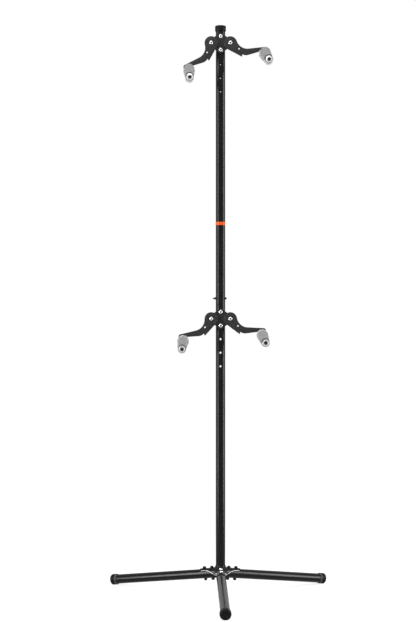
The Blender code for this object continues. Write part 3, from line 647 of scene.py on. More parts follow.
for level, height in LEVELS.items():
    at_mount = Matrix.Translation((0, POLE_Y, height))
    flat = plate("mount_plate", mount_outline, mount_holes, PLATE_BACK, PLATE_FRONT, *PLATE_EDGES)
    # The plate gets the darker copy of the arms' coating, a painted shade.
    finish_piece("mount_plate_" + level, shaped(moved(flat, at_mount @ UPRIGHT), FLAT_FACES), "stand",
                 "arm_coating", "centre_plate_" + level, sharp=60, material=PLATE_COATING_WITH_PAINTED_SHADE)
    for where, depths in SADDLES.items():
        finish_piece(f"saddle_block_{where}_{level}", moved(saddle(*depths), at_mount), "stand",
                     "black_rubber", f"{where}_saddle_{level}")

# %% [markdown]
# ## Arms
# The arms are 6 mm plates, wide and round at the pivot and narrow at the cradle, with a stop nib below. The
# outline is a chain of corners with a radius each, the way the real plate was drawn before it was cut, and
# the holes are the pivot's, the cradle bolt's, the cradle peg's and a spare one.

# %% Arm plates
ARM_REACH = 0.1765
ARM_BACK, ARM_FRONT, ARM_EDGES = 0.0271, 0.0331, (0.0006, 0.0013)
CRADLE_LEAN, CRADLE_RISE = 54.6, 0.0335
ARM_CORNERS = [
    (-0.0275, 0.0275, 0.0275), (0.0106, 0.0275, 0.0275), (0.0505, -0.0064, 0.0460), (0.1415, 0.0505, 0.0080),
    (0.1660, 0.0370, 0.0220), (0.1967, 0.0034, 0.0145), (0.1799, -0.0202, 0.0145), (0.1340, 0.0080, 0.0120),
    (0.1270, 0.0215, 0.0030), (0.0797, -0.0213, 0.0330), (0.0650, -0.0213, 0.0008), (0.0710, -0.0310, 0.0025),
    (-0.0275, -0.0276, 0.0275)]
peg_place = (ARM_REACH - CRADLE_RISE * sin(radians(CRADLE_LEAN)), CRADLE_RISE * cos(radians(CRADLE_LEAN)))
PEG_HOLE, SPARE_HOLE = 0.0033, (0.0435, -0.0062, 0.00325)
ARM_HOLES = [(0, 0, BOLT_HOLE), (ARM_REACH, 0, BOLT_HOLE), (*peg_place, PEG_HOLE), SPARE_HOLE]


def arm_frame(level, side_name):
    """Matrix that puts an arm drawn about its pivot in its place."""
    side = SIDES[side_name]
    pivot = Matrix.Translation((side * PIVOT_SPACING, POLE_Y, LEVELS[level]))
    return pivot @ Matrix.Rotation(side * ARM_ANGLES[level, side_name], 4, "Y")


for level, side_name in ARM_ANGLES:
    side = SIDES[side_name]
    outline = rounded([(side * x, z, radius) for x, z, radius in ARM_CORNERS])
    holes = [circle(side * x, z, radius) for x, z, radius in ARM_HOLES]
    blank = plate("arm", outline, holes, ARM_BACK, ARM_FRONT, *ARM_EDGES)
    blank.transform(arm_frame(level, side_name) @ UPRIGHT)
    finish_piece(f"steel_arm_{level}_{side_name}", shaped(blank, FLAT_FACES),
                 f"arm_assembly_{level}_{side_name}", "arm_coating", f"arm_{level}_{side_name}", sharp=60)

# %% [markdown]
# ## Cradles
# A cradle is one moulding: a flange against the arm, a round floor and a tongue in front, which leaves a
# trough between them. Modelling the blends between the three by hand is slow. Joining the plain forms,
# remeshing the result in small cubes and smoothing it a little gives the soft inside corners of a real mould.

# %% Forms of the cradle
CRADLE_BACK, FLANGE_FRONT, FLANGE_EDGES = 0.0334, 0.0384, (0.0010, 0.0016)
TONGUE_BACK, TONGUE_FRONT, TONGUE_EDGES = 0.0724, 0.0824, (0.0024, 0.0038)
BOSS_RADIUS, FLANGE_RADIUS, TONGUE_RADIUS, TONGUE_LEAN = 0.0170, 0.0250, 0.0220, 6
FLOOR_RADIUS, FILLET, OVERLAP = 0.0162, 0.0045, 0.0025
WASHER_SEAT, SEAT_RADIUS, SEAT_FLARE = 0.0784, 0.0172, 0.0400
PEG_RADIUS, PEG_BACK = 0.0030, 0.0281
CRADLE_CUBE, CRADLE_PASSES = 0.0007, 9


def pear(boss, top):
    """Loop round the bolt's boss and the wider top of the cradle."""
    return belt([(0, 0, boss), (0, CRADLE_RISE, top)])


def rod(name, radius, near, far, sides):
    """Round bar that runs forwards between two depths."""
    return moved(round_bar(name, radius, near, far, sides), UPRIGHT)


def trough_floor():
    """Round floor of the trough, with a fillet at the flange, kept inside the cradle's outline."""
    sweep = [radians(9 * step) for step in range(11)]
    section = [(0, CRADLE_BACK + OVERLAP), (FLOOR_RADIUS, CRADLE_BACK + OVERLAP)]
    section += [(FLOOR_RADIUS + FILLET * (1 - sin(angle)), FLANGE_FRONT + FILLET * (1 - cos(angle)))
                for angle in sweep]
    section += [(FLOOR_RADIUS, WASHER_SEAT - OVERLAP), (0, WASHER_SEAT - OVERLAP)]
    bar = moved(turned("cradle_floor", section, 72), UPRIGHT)
    outside = plate("outside", pear(BOSS_RADIUS - 0.0003, FLANGE_RADIUS), [], CRADLE_BACK + 0.0010,
                    TONGUE_FRONT, 0, 0, 1)
    return combined(bar, ("INTERSECT", moved(outside, UPRIGHT)))


# %% The cradle moulding
def softened(mesh, cube, passes):
    """The mesh remade in small cubes and smoothed, which rounds its inside corners."""
    remesh = {"mode": "VOXEL", "voxel_size": cube, "use_smooth_shade": True}
    return shaped(mesh, ("REMESH", remesh), ("SMOOTH", {"factor": 0.5, "iterations": passes}))


def moulding():
    """Cradle in its own frame: its bolt's axis along Y at the origin, its trough above it."""
    flange = plate("cradle", pear(BOSS_RADIUS, FLANGE_RADIUS), [], CRADLE_BACK, FLANGE_FRONT, *FLANGE_EDGES)
    tongue = plate("tongue", pear(BOSS_RADIUS, TONGUE_RADIUS), [], TONGUE_BACK, TONGUE_FRONT, *TONGUE_EDGES, 6)
    root = Matrix.Translation((0, -TONGUE_BACK, FLOOR_RADIUS))
    tongue.transform(root @ Matrix.Rotation(radians(TONGUE_LEAN), 4, "X") @ root.inverted() @ UPRIGHT)
    lip = SEAT_RADIUS + 0.0006
    seat_section = [(0, WASHER_SEAT), (SEAT_RADIUS, WASHER_SEAT), (lip, WASHER_SEAT + 0.0010),
                    (lip + SEAT_FLARE, WASHER_SEAT + 0.0450), (0, WASHER_SEAT + 0.0450)]
    seat = moved(turned("washer_seat", seat_section, 76), UPRIGHT)
    bolt_hole = rod("bolt_hole", BOLT_HOLE, 0.02, 0.12, 40)
    peg = moved(rod("peg", PEG_RADIUS, PEG_BACK, CRADLE_BACK + OVERLAP, 32), Matrix.Translation((0, 0, CRADLE_RISE)))
    whole = combined(moved(flange, UPRIGHT), ("UNION", trough_floor()), ("UNION", tongue), ("DIFFERENCE", seat),
                     ("DIFFERENCE", bolt_hole), ("UNION", peg))
    return softened(whole, CRADLE_CUBE, CRADLE_PASSES)


cradle_mesh = moulding()
print("cradle moulding:", len(cradle_mesh.polygons), "faces")

# %% [markdown]
# ## Tones and painted shade of the moulding
# The cradle isn't equally light all over: the trough is palest and the tongue's face is darker. Painted light is
# added too: the tongue's sides are darker still as painted shade, the ring of the washer's seat is lighter as a
# painted highlight, and a painted shadow lies under the upper edge of the seat. A painted picture would need a
# flat layout of the cradle. One number for each point, worked out from its place and the way that it faces,
# needs none and stays with the mesh.

# %% Tones and painted shade of the moulding
# Painted shade: the tongue's sides and the shadow under the seat are darker. Painted highlight: the seat's ring is
# lighter.
TONES_AND_PAINTED_SHADE = {"trough": 0.36, "seat_shadow": 0.045, "seat": 0.27, "painted_tongue_shade": 0.125, "tongue_face": 0.205}
TROUGH_FRONT, SHADOW_BACK = 0.0640, 0.0740
SHADOW_REACH, SHADOW_LOW, SEAT_REACH = 0.0192, 0.004, 0.0186


def tone(place, normal):
    """Lightness at a point of the cradle, in its own frame: its tone, with painted shade and painted highlight."""
    depth = -place.y
    from_axis = (place.x ** 2 + place.z ** 2) ** 0.5
    faces_down, faces_front = normal.z < -0.25, normal.y < -0.5
    if depth < TROUGH_FRONT:
        return TONES_AND_PAINTED_SHADE["trough"]
    if faces_down and from_axis < SHADOW_REACH and place.z > SHADOW_LOW and depth > SHADOW_BACK:
        return TONES_AND_PAINTED_SHADE["seat_shadow"]
    if faces_front and from_axis < SEAT_REACH:
        return TONES_AND_PAINTED_SHADE["seat"]
    # Painted shade on the tongue's sides, which face away from the front.
    return TONES_AND_PAINTED_SHADE["painted_tongue_shade"] if normal.y > -0.55 else TONES_AND_PAINTED_SHADE["tongue_face"]


def with_tone_and_painted_shade(mesh):
    """The same mesh with each point's tone and painted shade, evened out a little between neighbours."""
    values = [tone(point.co, point.normal) for point in mesh.vertices]
    for _ in range(2):
        sums, counts = values[:], [1] * len(values)
        for edge in mesh.edges:
            one, other = edge.vertices
            for here, there in ((one, other), (other, one)):
                sums[here] += values[there]
                counts[here] += 1
        values = [total / count for total, count in zip(sums, counts)]
    mesh.attributes.new("tone", "FLOAT", "POINT").data.foreach_set("value", values)
    print("tones from", round(min(values), 3), "to", round(max(values), 3))
    return mesh


# The plastic's colour is scaled by each point's tone, which carries the painted shade and painted highlight.
plastic = FINISHES["grey_plastic"].node_tree
tone_and_shade_of = output_of(plastic, "ShaderNodeAttribute", which="Fac", attribute_name="tone")
base_colour = plastic.nodes["Principled BSDF"].inputs["Base Color"]
patches = base_colour.links[0].from_socket
plastic.links.new(output_of(plastic, "ShaderNodeVectorMath", {0: patches, "Scale": tone_and_shade_of}, operation="SCALE"),
                  base_colour)

with_tone_and_painted_shade(cradle_mesh)
for level, side_name in ARM_ANGLES:
    side = SIDES[side_name]
    at_cradle = arm_frame(level, side_name) @ Matrix.Translation((side * ARM_REACH, 0, 0))
    at_cradle = at_cradle @ Matrix.Rotation(radians(-side * CRADLE_LEAN), 4, "Y")
    finish_piece(f"moulded_cradle_{level}_{side_name}", moved(cradle_mesh.copy(), at_cradle),
                 f"arm_assembly_{level}_{side_name}", "grey_plastic", f"cradle_{level}_{side_name}", sharp=80)

# %% [markdown]
# ## Hub
# The hub is a saddle that lies over the three legs, with a collar for the pole. Its outside follows three
# bars that meet, cut to a three-armed plan, with skirts that end in a line along each leg. The same
# forms are joined and cut here as in the CAD model, with finer sides, and remeshed like the cradles.

# %% The hub plate
HUB_RADIUS = 0.0233
HUB_HALF_WIDTH, HUB_REACH, HUB_UNDERSIDE = 0.0190, 0.0965, 0.0793
COLLAR_TOP, SOCKET_FLOOR, SOCKET_TOP = 0.1254, 0.1172, 0.15
BAR_START, BAR_END, BAR_SIDES = -0.004, 0.1165, 80
CROTCH_RADIUS, END_ROUNDING = 0.100, 0.999
HUB_CUBE, HUB_PASSES = 0.0009, 8


def hub_bars(name, radius):
    """Three bars along the legs, joined. Each is turned a little, so that no two share an edge."""
    bars = []
    for index, azimuth in enumerate(LEG_AZIMUTHS.values()):
        spin = Matrix.Rotation(radians(360 / BAR_SIDES * (0.10 + 0.27 * index)), 4, "Z")
        bars.append(moved(round_bar(name, radius, BAR_START, BAR_END, BAR_SIDES), leg_frame(azimuth) @ spin))
    return combined(bars[0], ("UNION", bars[1]), ("UNION", bars[2]))


hub_corners = []
crotch = HUB_HALF_WIDTH / sin(radians(60))
for azimuth in LEG_AZIMUTHS.values():
    out = Vector((cos(radians(azimuth)), sin(radians(azimuth))))
    across = Vector((-out.y, out.x)) * HUB_HALF_WIDTH
    between = radians(azimuth + 60)
    for edge in (-across, across):
        hub_corners.append((*(out * HUB_REACH + edge), HUB_HALF_WIDTH * END_ROUNDING))
    hub_corners.append((crotch * cos(between), crotch * sin(between), CROTCH_RADIUS))
hub_plan = plate("hub", rounded(hub_corners, step=radians(4)), [], HUB_UNDERSIDE, COLLAR_TOP, 0, 0, 1)
hub_plan.transform(AT_POLE)
print("hub plan:", len(hub_corners), "corners")

# %% Join and cut the hub
collar_section = rounded([
    (0, 0, 0), (0.0214, 0, 0.0006), (0.0221, -0.0034, 0.006), (0.0236, -0.0064, 0.008), (0.0260, -0.0088, 0.008),
    (0.0290, -0.0102, 0.0004), (0.0290, -0.0116, 0), (0.0258, -0.0301, 0), (0, -0.0301, 0)], closed=False)
collar = moved(turned("collar", collar_section), Matrix.Translation((0, POLE_Y, COLLAR_TOP)))
socket = moved(round_bar("socket", FIT_RADIUS, SOCKET_FLOOR, SOCKET_TOP, 92), AT_POLE)
skirt = rounded([(-0.0143, BAR_END, 0), (-0.0143, 0.0470, 0.0600), (0.0098, 0.0100, 0), (0.0433, 0.0100, 0),
                 (0.0433, BAR_END, 0)])
hub_steps = [("INTERSECT", hub_bars("hub_outer", HUB_RADIUS)), ("UNION", collar),
             ("DIFFERENCE", hub_bars("hub_inner", FIT_RADIUS)), ("DIFFERENCE", socket)]
for azimuth in LEG_AZIMUTHS.values():
    below = plate("skirt", skirt, [], -0.030, 0.030, 0, 0, 1)
    hub_steps.append(("DIFFERENCE", moved(below, leg_frame(azimuth) @ UPRIGHT)))
hub = softened(combined(hub_plan, *hub_steps), HUB_CUBE, HUB_PASSES)
finish_piece("hub_saddle", hub, "stand", "black_paint", "hub_plate", sharp=80)

# %% [markdown]
# ## Painted highlight on the pressed edges
# Along each skirt the sheet ends in a thin bright line, a painted highlight: a bead with a light metallic
# finish. It follows the skirt's curve round the leg, so it is grown along a path: the path's points are
# computed on the hub's surface, and a tree lays a small round bead along each path.

# %% Beads along paths
bead_tree, given = new_tree("bead_along_paths", {"Bead Radius": float, "Sides": int, "Finish": str})
paths = output_of(bead_tree, "GeometryNodeMeshToCurve", {"Mesh": given["Geometry"]})
ring = output_of(bead_tree, "GeometryNodeCurvePrimitiveCircle",
                 {"Resolution": given["Sides"], "Radius": given["Bead Radius"]})
bead = output_of(bead_tree, "GeometryNodeCurveToMesh", {"Curve": paths, "Profile Curve": ring, "Fill Caps": True})
close_tree(bead_tree, bead, given["Finish"])

# %% Edges of the skirts
EDGE_RADIUS, BEAD_RADIUS, BEAD_SIDES = 0.0230, 0.0011, 16
EDGE_START, EDGE_REACH, EDGE_TIP = 0.0125, 0.0815, (0.0078, 0.0131)
edge_line = [(below, min(along, EDGE_REACH)) for below, along in skirt if along > EDGE_START and below < 0.02]
edge_line.append(EDGE_TIP)
edge_points, edge_links = [], []
for azimuth in LEG_AZIMUTHS.values():
    for side in SIDES.values():
        start = len(edge_points)
        for below, along in edge_line:
            across = side * (EDGE_RADIUS ** 2 - below ** 2) ** 0.5
            edge_points.append(leg_frame(azimuth) @ Vector((below, across, along)))
        edge_links += [(index, index + 1) for index in range(start, len(edge_points) - 1)]
edge_paths = bpy.data.meshes.new("edge_paths")
edge_paths.from_pydata(edge_points, edge_links, [])
# The beads get the light finish, a painted highlight along the skirts' edges.
edges = grown("pressed_edges", bead_tree, {"Bead Radius": BEAD_RADIUS, "Sides": BEAD_SIDES, "Finish": SKIRT_EDGE_HIGHLIGHT},
              edge_paths)
finish_piece("pressed_edges", edges, "stand", "black_paint", sharp=60, material=SKIRT_EDGE_HIGHLIGHT)

# %% [markdown]
# ## Fasteners
# The bolts are button heads with a hexagon socket, and the nuts are plain hexagons with turned corners. A
# head could be modelled by hand, but it is a turned shape with a hexagonal hole, so it is turned and cut. The
# thread is a small ridge that a tree winds round the shank. The faces inside the sockets are marked for a dark
# finish, a painted shade that makes them look almost black, and a ring washer's faces get the same finish.

# %% The thread
THREAD_PITCH, ROOT_SHARE, RIDGE_SHARE = 0.00125, -0.30, 0.48
thread_tree, given = new_tree("thread", {"Radius": float, "Pitch": float, "Length": float, "Finish": str})
turns = calculated(thread_tree, "DIVIDE", given["Length"], given["Pitch"])
root = calculated(thread_tree, "MULTIPLY_ADD", given["Pitch"], ROOT_SHARE, given["Radius"])
coil = output_of(thread_tree, "GeometryNodeCurveSpiral",
                 {"Resolution": 32, "Rotations": turns, "Start Radius": root, "End Radius": root,
                  "Height": given["Length"]})
half_pitch = calculated(thread_tree, "MULTIPLY", given["Pitch"], RIDGE_SHARE)
ridge = output_of(thread_tree, "GeometryNodeCurvePrimitiveCircle", {"Resolution": 4, "Radius": half_pitch})
wound = output_of(thread_tree, "GeometryNodeCurveToMesh", {"Curve": coil, "Profile Curve": ridge, "Fill Caps": True})
close_tree(thread_tree, wound, given["Finish"])

# %% Bolts
# The head's profile, in shares of its radius outwards and of its height downwards.
BUTTON_HEAD = [(0, 0), (0.52, 0), (0.62, 0.02), (0.80, 0.16), (0.92, 0.36), (0.985, 0.62), (1, 0.84), (0.985, 1)]
SOCKET_DEPTH = 0.62
RUN_OUT, CORE_STEP, PLAIN_END = 0.0006, 0.0007, 0.0008
SKIN, RIM = 0.00005, 0.0002


def hexagon(name, width, low, high):
    """Hexagonal bar of a given width across flats."""
    return plate(name, circle(0, 0, width / 2 / cos(pi / 6), 6), [], low, high, 0, 0, 1)


def merged(base, *others):
    """The base mesh with everything of the others added."""
    def gather(form):
        for other in others:
            form.from_mesh(other)

    return reworked(base, gather)


def bolt(name, head, shank, length, key, finish, thread, washer=0.0, ring=None):
    """Button head above the XY plane, with its socket and ring washer, and a shank threaded at its end below."""
    radius, height = head
    top = washer + height
    section = [(radius * out, top - height * down) for out, down in BUTTON_HEAD]
    section += [(shank, washer), (shank, thread - length), (shank - CORE_STEP, thread - length - RUN_OUT),
                (shank - CORE_STEP, -length), (0, -length)]
    body = combined(turned(name, section, 48),
                    ("DIFFERENCE", hexagon("key", key, top - SOCKET_DEPTH * height, top + height)))
    ridge_mesh = grown("ridge", thread_tree, {"Radius": shank, "Pitch": THREAD_PITCH,
                                              "Length": thread - PLAIN_END, "Finish": finish})
    ridge_mesh.transform(Matrix.Translation((0, 0, RUN_OUT - length)))

    # Painted shade inside the socket. A ring washer's faces get the dark finish too.
    def socket_or_washer(middle, _):
        in_socket = middle.xy.length < 0.6 * key and top - height < middle.z < top - RIM
        on_ring = ring and middle.xy.length > shank and -SKIN < middle.z < washer + SKIN
        return bool(in_socket or on_ring)

    return marked(merged(body, ridge_mesh, *([ring] if ring else [])), socket_or_washer)


# %% Nuts and washers
CHAMFER, CORNER_CUT, LEAD_IN, OVERRUN = 0.0011, 0.0002, 0.0016, 0.0010
WASHER_EDGES = (0.0003, 0.0005)


def nut(name, width, height, bore):
    """Hexagon nut from the XY plane down, its corners turned off to a cone."""
    flat, corner, wide = width / 2 - CORNER_CUT, width / 2 / cos(pi / 6) + CORNER_CUT, bore + LEAD_IN
    cone = turned("nut_cone", [(0, 0), (flat, 0), (corner, -CHAMFER), (corner, CHAMFER - height),
                               (flat, -height), (0, -height)])
    hole = turned("nut_hole", [(0, OVERRUN), (wide, OVERRUN), (bore, -RUN_OUT), (bore, RUN_OUT - height),
                               (wide, -OVERRUN - height), (0, -OVERRUN - height)], 40)
    block = hexagon(name, width, -height - OVERRUN, OVERRUN)
    return without_slivers(combined(block, ("INTERSECT", cone), ("DIFFERENCE", hole)))


def ring_washer(name, radius, hole, thickness):
    """Flat washer from the XY plane up, its edges rounded."""
    return plate(name, circle(0, 0, radius, 72), [circle(0, 0, hole)], 0, thickness, *WASHER_EDGES, 3)


# %% [markdown]
# ## Fasteners on points
# Each fastener could be placed one by one, but every bolt of a set is the same shape in another place: a
# Geometry Nodes tree puts one on each point of a small mesh, turns it to the point's own direction, and spins
# it by a seeded random angle, because no fitter leaves all sockets lined up.

# %% Fasteners on points
fastener_tree, given = new_tree("fasteners_on_points", {"Fastener": object, "Seed": int, "Finish": str})
shape_of = output_of(fastener_tree, "GeometryNodeObjectInfo", {"Object": given["Fastener"]}, "Geometry",
                     transform_space="ORIGINAL")
way_out = output_of(fastener_tree, "GeometryNodeInputNamedAttribute", {"Name": "way_out"}, "Attribute",
                    data_type="FLOAT_VECTOR")
facing = output_of(fastener_tree, "FunctionNodeAlignRotationToVector", {"Vector": way_out}, axis="Z")
angle = output_of(fastener_tree, "FunctionNodeRandomValue", {2: 0.0, 3: 2 * pi, "Seed": given["Seed"]}, 1,
                  data_type="FLOAT")
spin = output_of(fastener_tree, "FunctionNodeAxisAngleToRotation", {"Axis": (0, 0, 1), "Angle": angle})
turned_in = output_of(fastener_tree, "FunctionNodeRotateRotation", {"Rotation": facing, "Rotate By": spin},
                      rotation_space="LOCAL")
placed = output_of(fastener_tree, "GeometryNodeInstanceOnPoints",
                   {"Points": given["Geometry"], "Instance": shape_of, "Rotation": turned_in})
close_tree(fastener_tree, placed, given["Finish"])


def set_in(name, fastener, seats, seed, body, slot, replaced):
    """One piece with a fastener on each seat, given as (place, direction that the head faces)."""
    points = bpy.data.meshes.new(name)
    points.from_pydata([place for place, _ in seats], [], [])
    ways = points.attributes.new("way_out", "FLOAT_VECTOR", "POINT")
    for item, (_, way) in zip(ways.data, seats):
        item.vector = way
    model = on_bench(name + "_model", fastener)
    mesh = grown(name, fastener_tree, {"Fastener": model, "Seed": seed, "Finish": FINISHES[slot]}, points)
    bpy.data.objects.remove(model)
    # Marked faces get the dark finish: painted shade inside the sockets, and dark washers.
    finish_piece(name, mesh, body, slot, *replaced, inlay=SOCKET_SHADE_AND_DARK_WASHER if "inlay" in mesh.attributes else None)


# %% [markdown]
# ## Bolts of the legs
# Two bolts hold each leg under the hub, with a ring washer above and a nut below. Those of the front leg are
# bright zinc and the others are black, so one loop makes two sets. The places could be worked out by hand,
# but a leg's matrix gives them, and the way that its bolts point, from one distance along the leg.

# %% Bolts of the legs
M8_SHANK, M8_NUT, M8_WASHER_HOLE = 0.0040, (0.0130, 0.0068, 0.0038), 0.0042
SMALL_KEY, LARGE_KEY = 0.0055, 0.0063
PAST_NUT = M8_NUT[1] + 0.0018
LEG_HEAD, LEG_THREAD, LEG_WASHER = (0.0070, 0.0060), 0.010, (0.0085, 0.0016)
nut_seat = HUB_RADIUS + TUBE_RADIUS + 2 * FIT_GAP
leg_washer = ring_washer("leg_washer", LEG_WASHER[0], M8_WASHER_HOLE, LEG_WASHER[1])
for set_name, ways, slot, seed in (("front", ["front"], "bright_zinc", 3),
                                   ("side", ["right", "left"], "black_oxide", 4)):
    leg_bolt_seats, leg_nut_seats = [], []
    for way in ways:
        at_leg = leg_frame(LEG_AZIMUTHS[way])
        up = at_leg.to_3x3() @ Vector((-1, 0, 0))
        for distance in LEG_BOLT_PLACES:
            seat = at_leg @ Vector((-HUB_RADIUS - FIT_GAP, 0, distance))
            leg_bolt_seats.append((seat, up))
            leg_nut_seats.append((seat - up * nut_seat, up))
    leg_bolt_nodes = [f"leg_bolt_{way}_{place}" for way in ways for place in ("inner", "outer")]
    leg_bolt = bolt("leg_bolt", LEG_HEAD, M8_SHANK, nut_seat + PAST_NUT, SMALL_KEY, FINISHES[slot], LEG_THREAD,
                    LEG_WASHER[1], leg_washer)
    set_in("leg_bolts_" + set_name, leg_bolt, leg_bolt_seats, seed, "stand", slot, leg_bolt_nodes)
    set_in("leg_nuts_" + set_name, nut("leg_nut", *M8_NUT), leg_nut_seats, seed + 2, "stand", slot, leg_bolt_nodes)

# %% [markdown]
# ## Bolts of the mounts
# Two bolts go through each mount, its saddles and the pole, and one more carries each arm, which turns on it.
# They have wide, low heads. Their seats follow from the depths of the faces that they bear on, each with a
# small gap, because faces that lie in one another flicker in a render.

# %% Bolts of the mounts
FORWARD = Vector((0, -1, 0))
MOUNT_HEAD = (0.0080, 0.0045)
centre_seats, centre_nut_seats, pivot_seats, pivot_nut_seats = [], [], [], []
centre_nodes, pivot_nodes, mount_nut_nodes = [], [], []
for level, height in LEVELS.items():
    for end, rise in (("top", BOLT_RISE), ("bottom", -BOLT_RISE)):
        centre_seats.append(((0, POLE_Y - PLATE_FRONT - FIT_GAP, height + rise), FORWARD))
        centre_nut_seats.append(((0, POLE_Y + SADDLE_BACK + FIT_GAP, height + rise), FORWARD))
        centre_nodes.append(f"centre_bolt_{level}_{end}")
        mount_nut_nodes.append(f"centre_nut_{level}_{end}")
    for side_name, side in SIDES.items():
        pivot_seats.append(((side * PIVOT_SPACING, POLE_Y - ARM_FRONT - FIT_GAP, height), FORWARD))
        pivot_nut_seats.append(((side * PIVOT_SPACING, POLE_Y - PLATE_BACK + FIT_GAP, height), FORWARD))
        pivot_nodes.append(f"pivot_bolt_{level}_{side_name}")
        mount_nut_nodes.append(f"pivot_nut_{level}_{side_name}")
MOUNT_SETS = (("centre_bolts", 0.0600, 0.012, centre_seats, 7, centre_nodes),
              ("pivot_bolts", 0.0195, 0.006, pivot_seats, 11, pivot_nodes))
for set_name, length, thread, seats, seed, nodes in MOUNT_SETS:
    mount_bolt = bolt("mount_bolt", MOUNT_HEAD, M8_SHANK, length, LARGE_KEY, FINISHES["bright_zinc"], thread)
    set_in(set_name, mount_bolt, seats, seed, "stand", "bright_zinc", nodes)
set_in("mount_nuts", nut("mount_nut", *M8_NUT), centre_nut_seats + pivot_nut_seats, 13, "stand", "bright_zinc",
       mount_nut_nodes)

# %% [markdown]
# ## Bolts of the cradles
# A large bright washer lies in the front of each cradle, with a black bolt in its middle and a nut behind the
# arm. One set could serve all four arms, but a piece can ride on one body only, and each arm moves by itself.

# %% Bolts of the cradles
CRADLE_HEAD, CRADLE_THREAD, CRADLE_WASHER = (0.0080, 0.0050), 0.010, (0.0135, 0.0020)
cradle_length = WASHER_SEAT - ARM_BACK + 2 * FIT_GAP + PAST_NUT
for index, (level, side_name) in enumerate(ARM_ANGLES):
    ending = f"_{level}_{side_name}"
    body = "arm_assembly" + ending
    axis = middle("cradle_bolt" + ending)
    front_seat = [((axis.x, POLE_Y - WASHER_SEAT - FIT_GAP, axis.z), FORWARD)]
    back_seat = [((axis.x, POLE_Y - ARM_BACK + FIT_GAP, axis.z), FORWARD)]
    washer = ring_washer("cradle_washer", CRADLE_WASHER[0], M8_WASHER_HOLE, CRADLE_WASHER[1])
    cradle_bolt = bolt("cradle_bolt", CRADLE_HEAD, M8_SHANK, cradle_length, SMALL_KEY, FINISHES["black_oxide"],
                       CRADLE_THREAD, CRADLE_WASHER[1])
    set_in("cradle_washer" + ending, washer, front_seat, 17 + index, body, "bright_zinc", ["cradle_bolt" + ending])
    set_in("socket_bolt" + ending, cradle_bolt, front_seat, 23 + index, body, "black_oxide",
           ["cradle_bolt" + ending])
    set_in("hexagon_nut" + ending, nut("cradle_nut", *M8_NUT), back_seat, 29 + index, body, "bright_zinc",
           ["cradle_nut" + ending])

# %% [markdown]
# ## Bolt of the pole's joint
# A thin black bolt goes across the pole under its seam and holds the sleeve inside. Only its head and its nut
# show, as a stud at each side of the pole. It is made whole like the others, because the holes let one see in.

# %% Bolt of the pole's joint
JOINT_HEAD, JOINT_SHANK, JOINT_KEY, JOINT_THREAD = (0.00525, 0.0055), 0.0030, 0.0040, 0.0135
JOINT_NUT = (0.0100, 0.0050, 0.0028)
joint_height = middle("joint_bolt").z
right = Vector((1, 0, 0))
joint_length = 2 * FIT_RADIUS + JOINT_NUT[1] + 0.0070
joint_bolt = bolt("cross_bolt", JOINT_HEAD, JOINT_SHANK, joint_length, JOINT_KEY, FINISHES["black_oxide"],
                  JOINT_THREAD)
set_in("cross_bolt", joint_bolt, [((FIT_RADIUS, POLE_Y, joint_height), right)], 37, "stand", "black_oxide",
       ["joint_bolt"])
set_in("cross_nut", nut("cross_nut", *JOINT_NUT), [((-FIT_RADIUS, POLE_Y, joint_height), right)], 41, "stand",
       "black_oxide", ["joint_nut"])

# %% [markdown]
# ## The solid that stays
# The sleeve inside the pole is seen only through the holes. Its solid is right as it is, so it only needs
# the finish.

# %% Finish of the sleeve
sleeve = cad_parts["joint_sleeve"]
sleeve.data.materials.clear()
sleeve.data.materials.append(FINISHES["black_paint"])
print("CAD solids still shown:", [name for name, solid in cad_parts.items() if not solid.hide_render])

# %% [markdown]
# ## Floor
# The floor is white paper. A plain white floor under lamps would never be evenly white, and more light on it
# would spoil the object. So the camera sees most of the floor's white as its own glow, and the last part is
# lit, which keeps a soft shadow under the legs. Far out only the glow is left, so it has no horizon. Shiny
# things reflect the same white, but the glow lights nothing.

# %% Paint of the floor
LIT_SHARE, LIT_NEAR, LIT_FAR = 0.28, 0.7, 2.0
PAPER, GLOW = (0.86, 0.86, 0.86, 1), 1.02


def seen_directly(tree):
    """1 for rays from the camera, off shiny things and through glass, and 0 for all other rays."""
    path = add_node(tree, "ShaderNodeLightPath").outputs
    seen = calculated(tree, "MAXIMUM", path["Is Camera Ray"], path["Is Glossy Ray"])
    return calculated(tree, "MAXIMUM", seen, path["Is Transmission Ray"])


floor_paint = bpy.data.materials.new("white_paper_floor")
floor_paint.use_nodes = True
tree = floor_paint.node_tree
tree.nodes.remove(tree.nodes["Principled BSDF"])
place = output_of(tree, "ShaderNodeTexCoord", which="Object")
distance = output_of(tree, "ShaderNodeVectorMath", {0: place}, "Value", operation="LENGTH")
lit = output_of(tree, "ShaderNodeMapRange", {"Value": distance, "From Min": LIT_NEAR, "From Max": LIT_FAR,
                                             "To Min": LIT_SHARE, "To Max": 0.0})
paper = output_of(tree, "ShaderNodeBsdfDiffuse", {"Color": PAPER})
glow = output_of(tree, "ShaderNodeEmission", {"Color": (1, 1, 1, 1), "Strength": GLOW})
mixed = output_of(tree, "ShaderNodeMixShader", {0: calculated(tree, "SUBTRACT", 1.0, lit), 1: paper, 2: glow})
surface = output_of(tree, "ShaderNodeMixShader", {0: seen_directly(tree), 1: paper, 2: mixed})
tree.links.new(surface, tree.nodes["Material Output"].inputs["Surface"])

# %% The floor
PAPER_RADIUS, PAPER_SIDES = 2.6, 64
floor_mesh = reworked(bpy.data.meshes.new("floor"), lambda form: bmesh.ops.create_circle(
    form, cap_ends=True, segments=PAPER_SIDES, radius=PAPER_RADIUS))
floor_mesh.materials.append(floor_paint)
floor = on_bench("floor", floor_mesh)
print("floor:", 2 * PAPER_RADIUS, "m across")

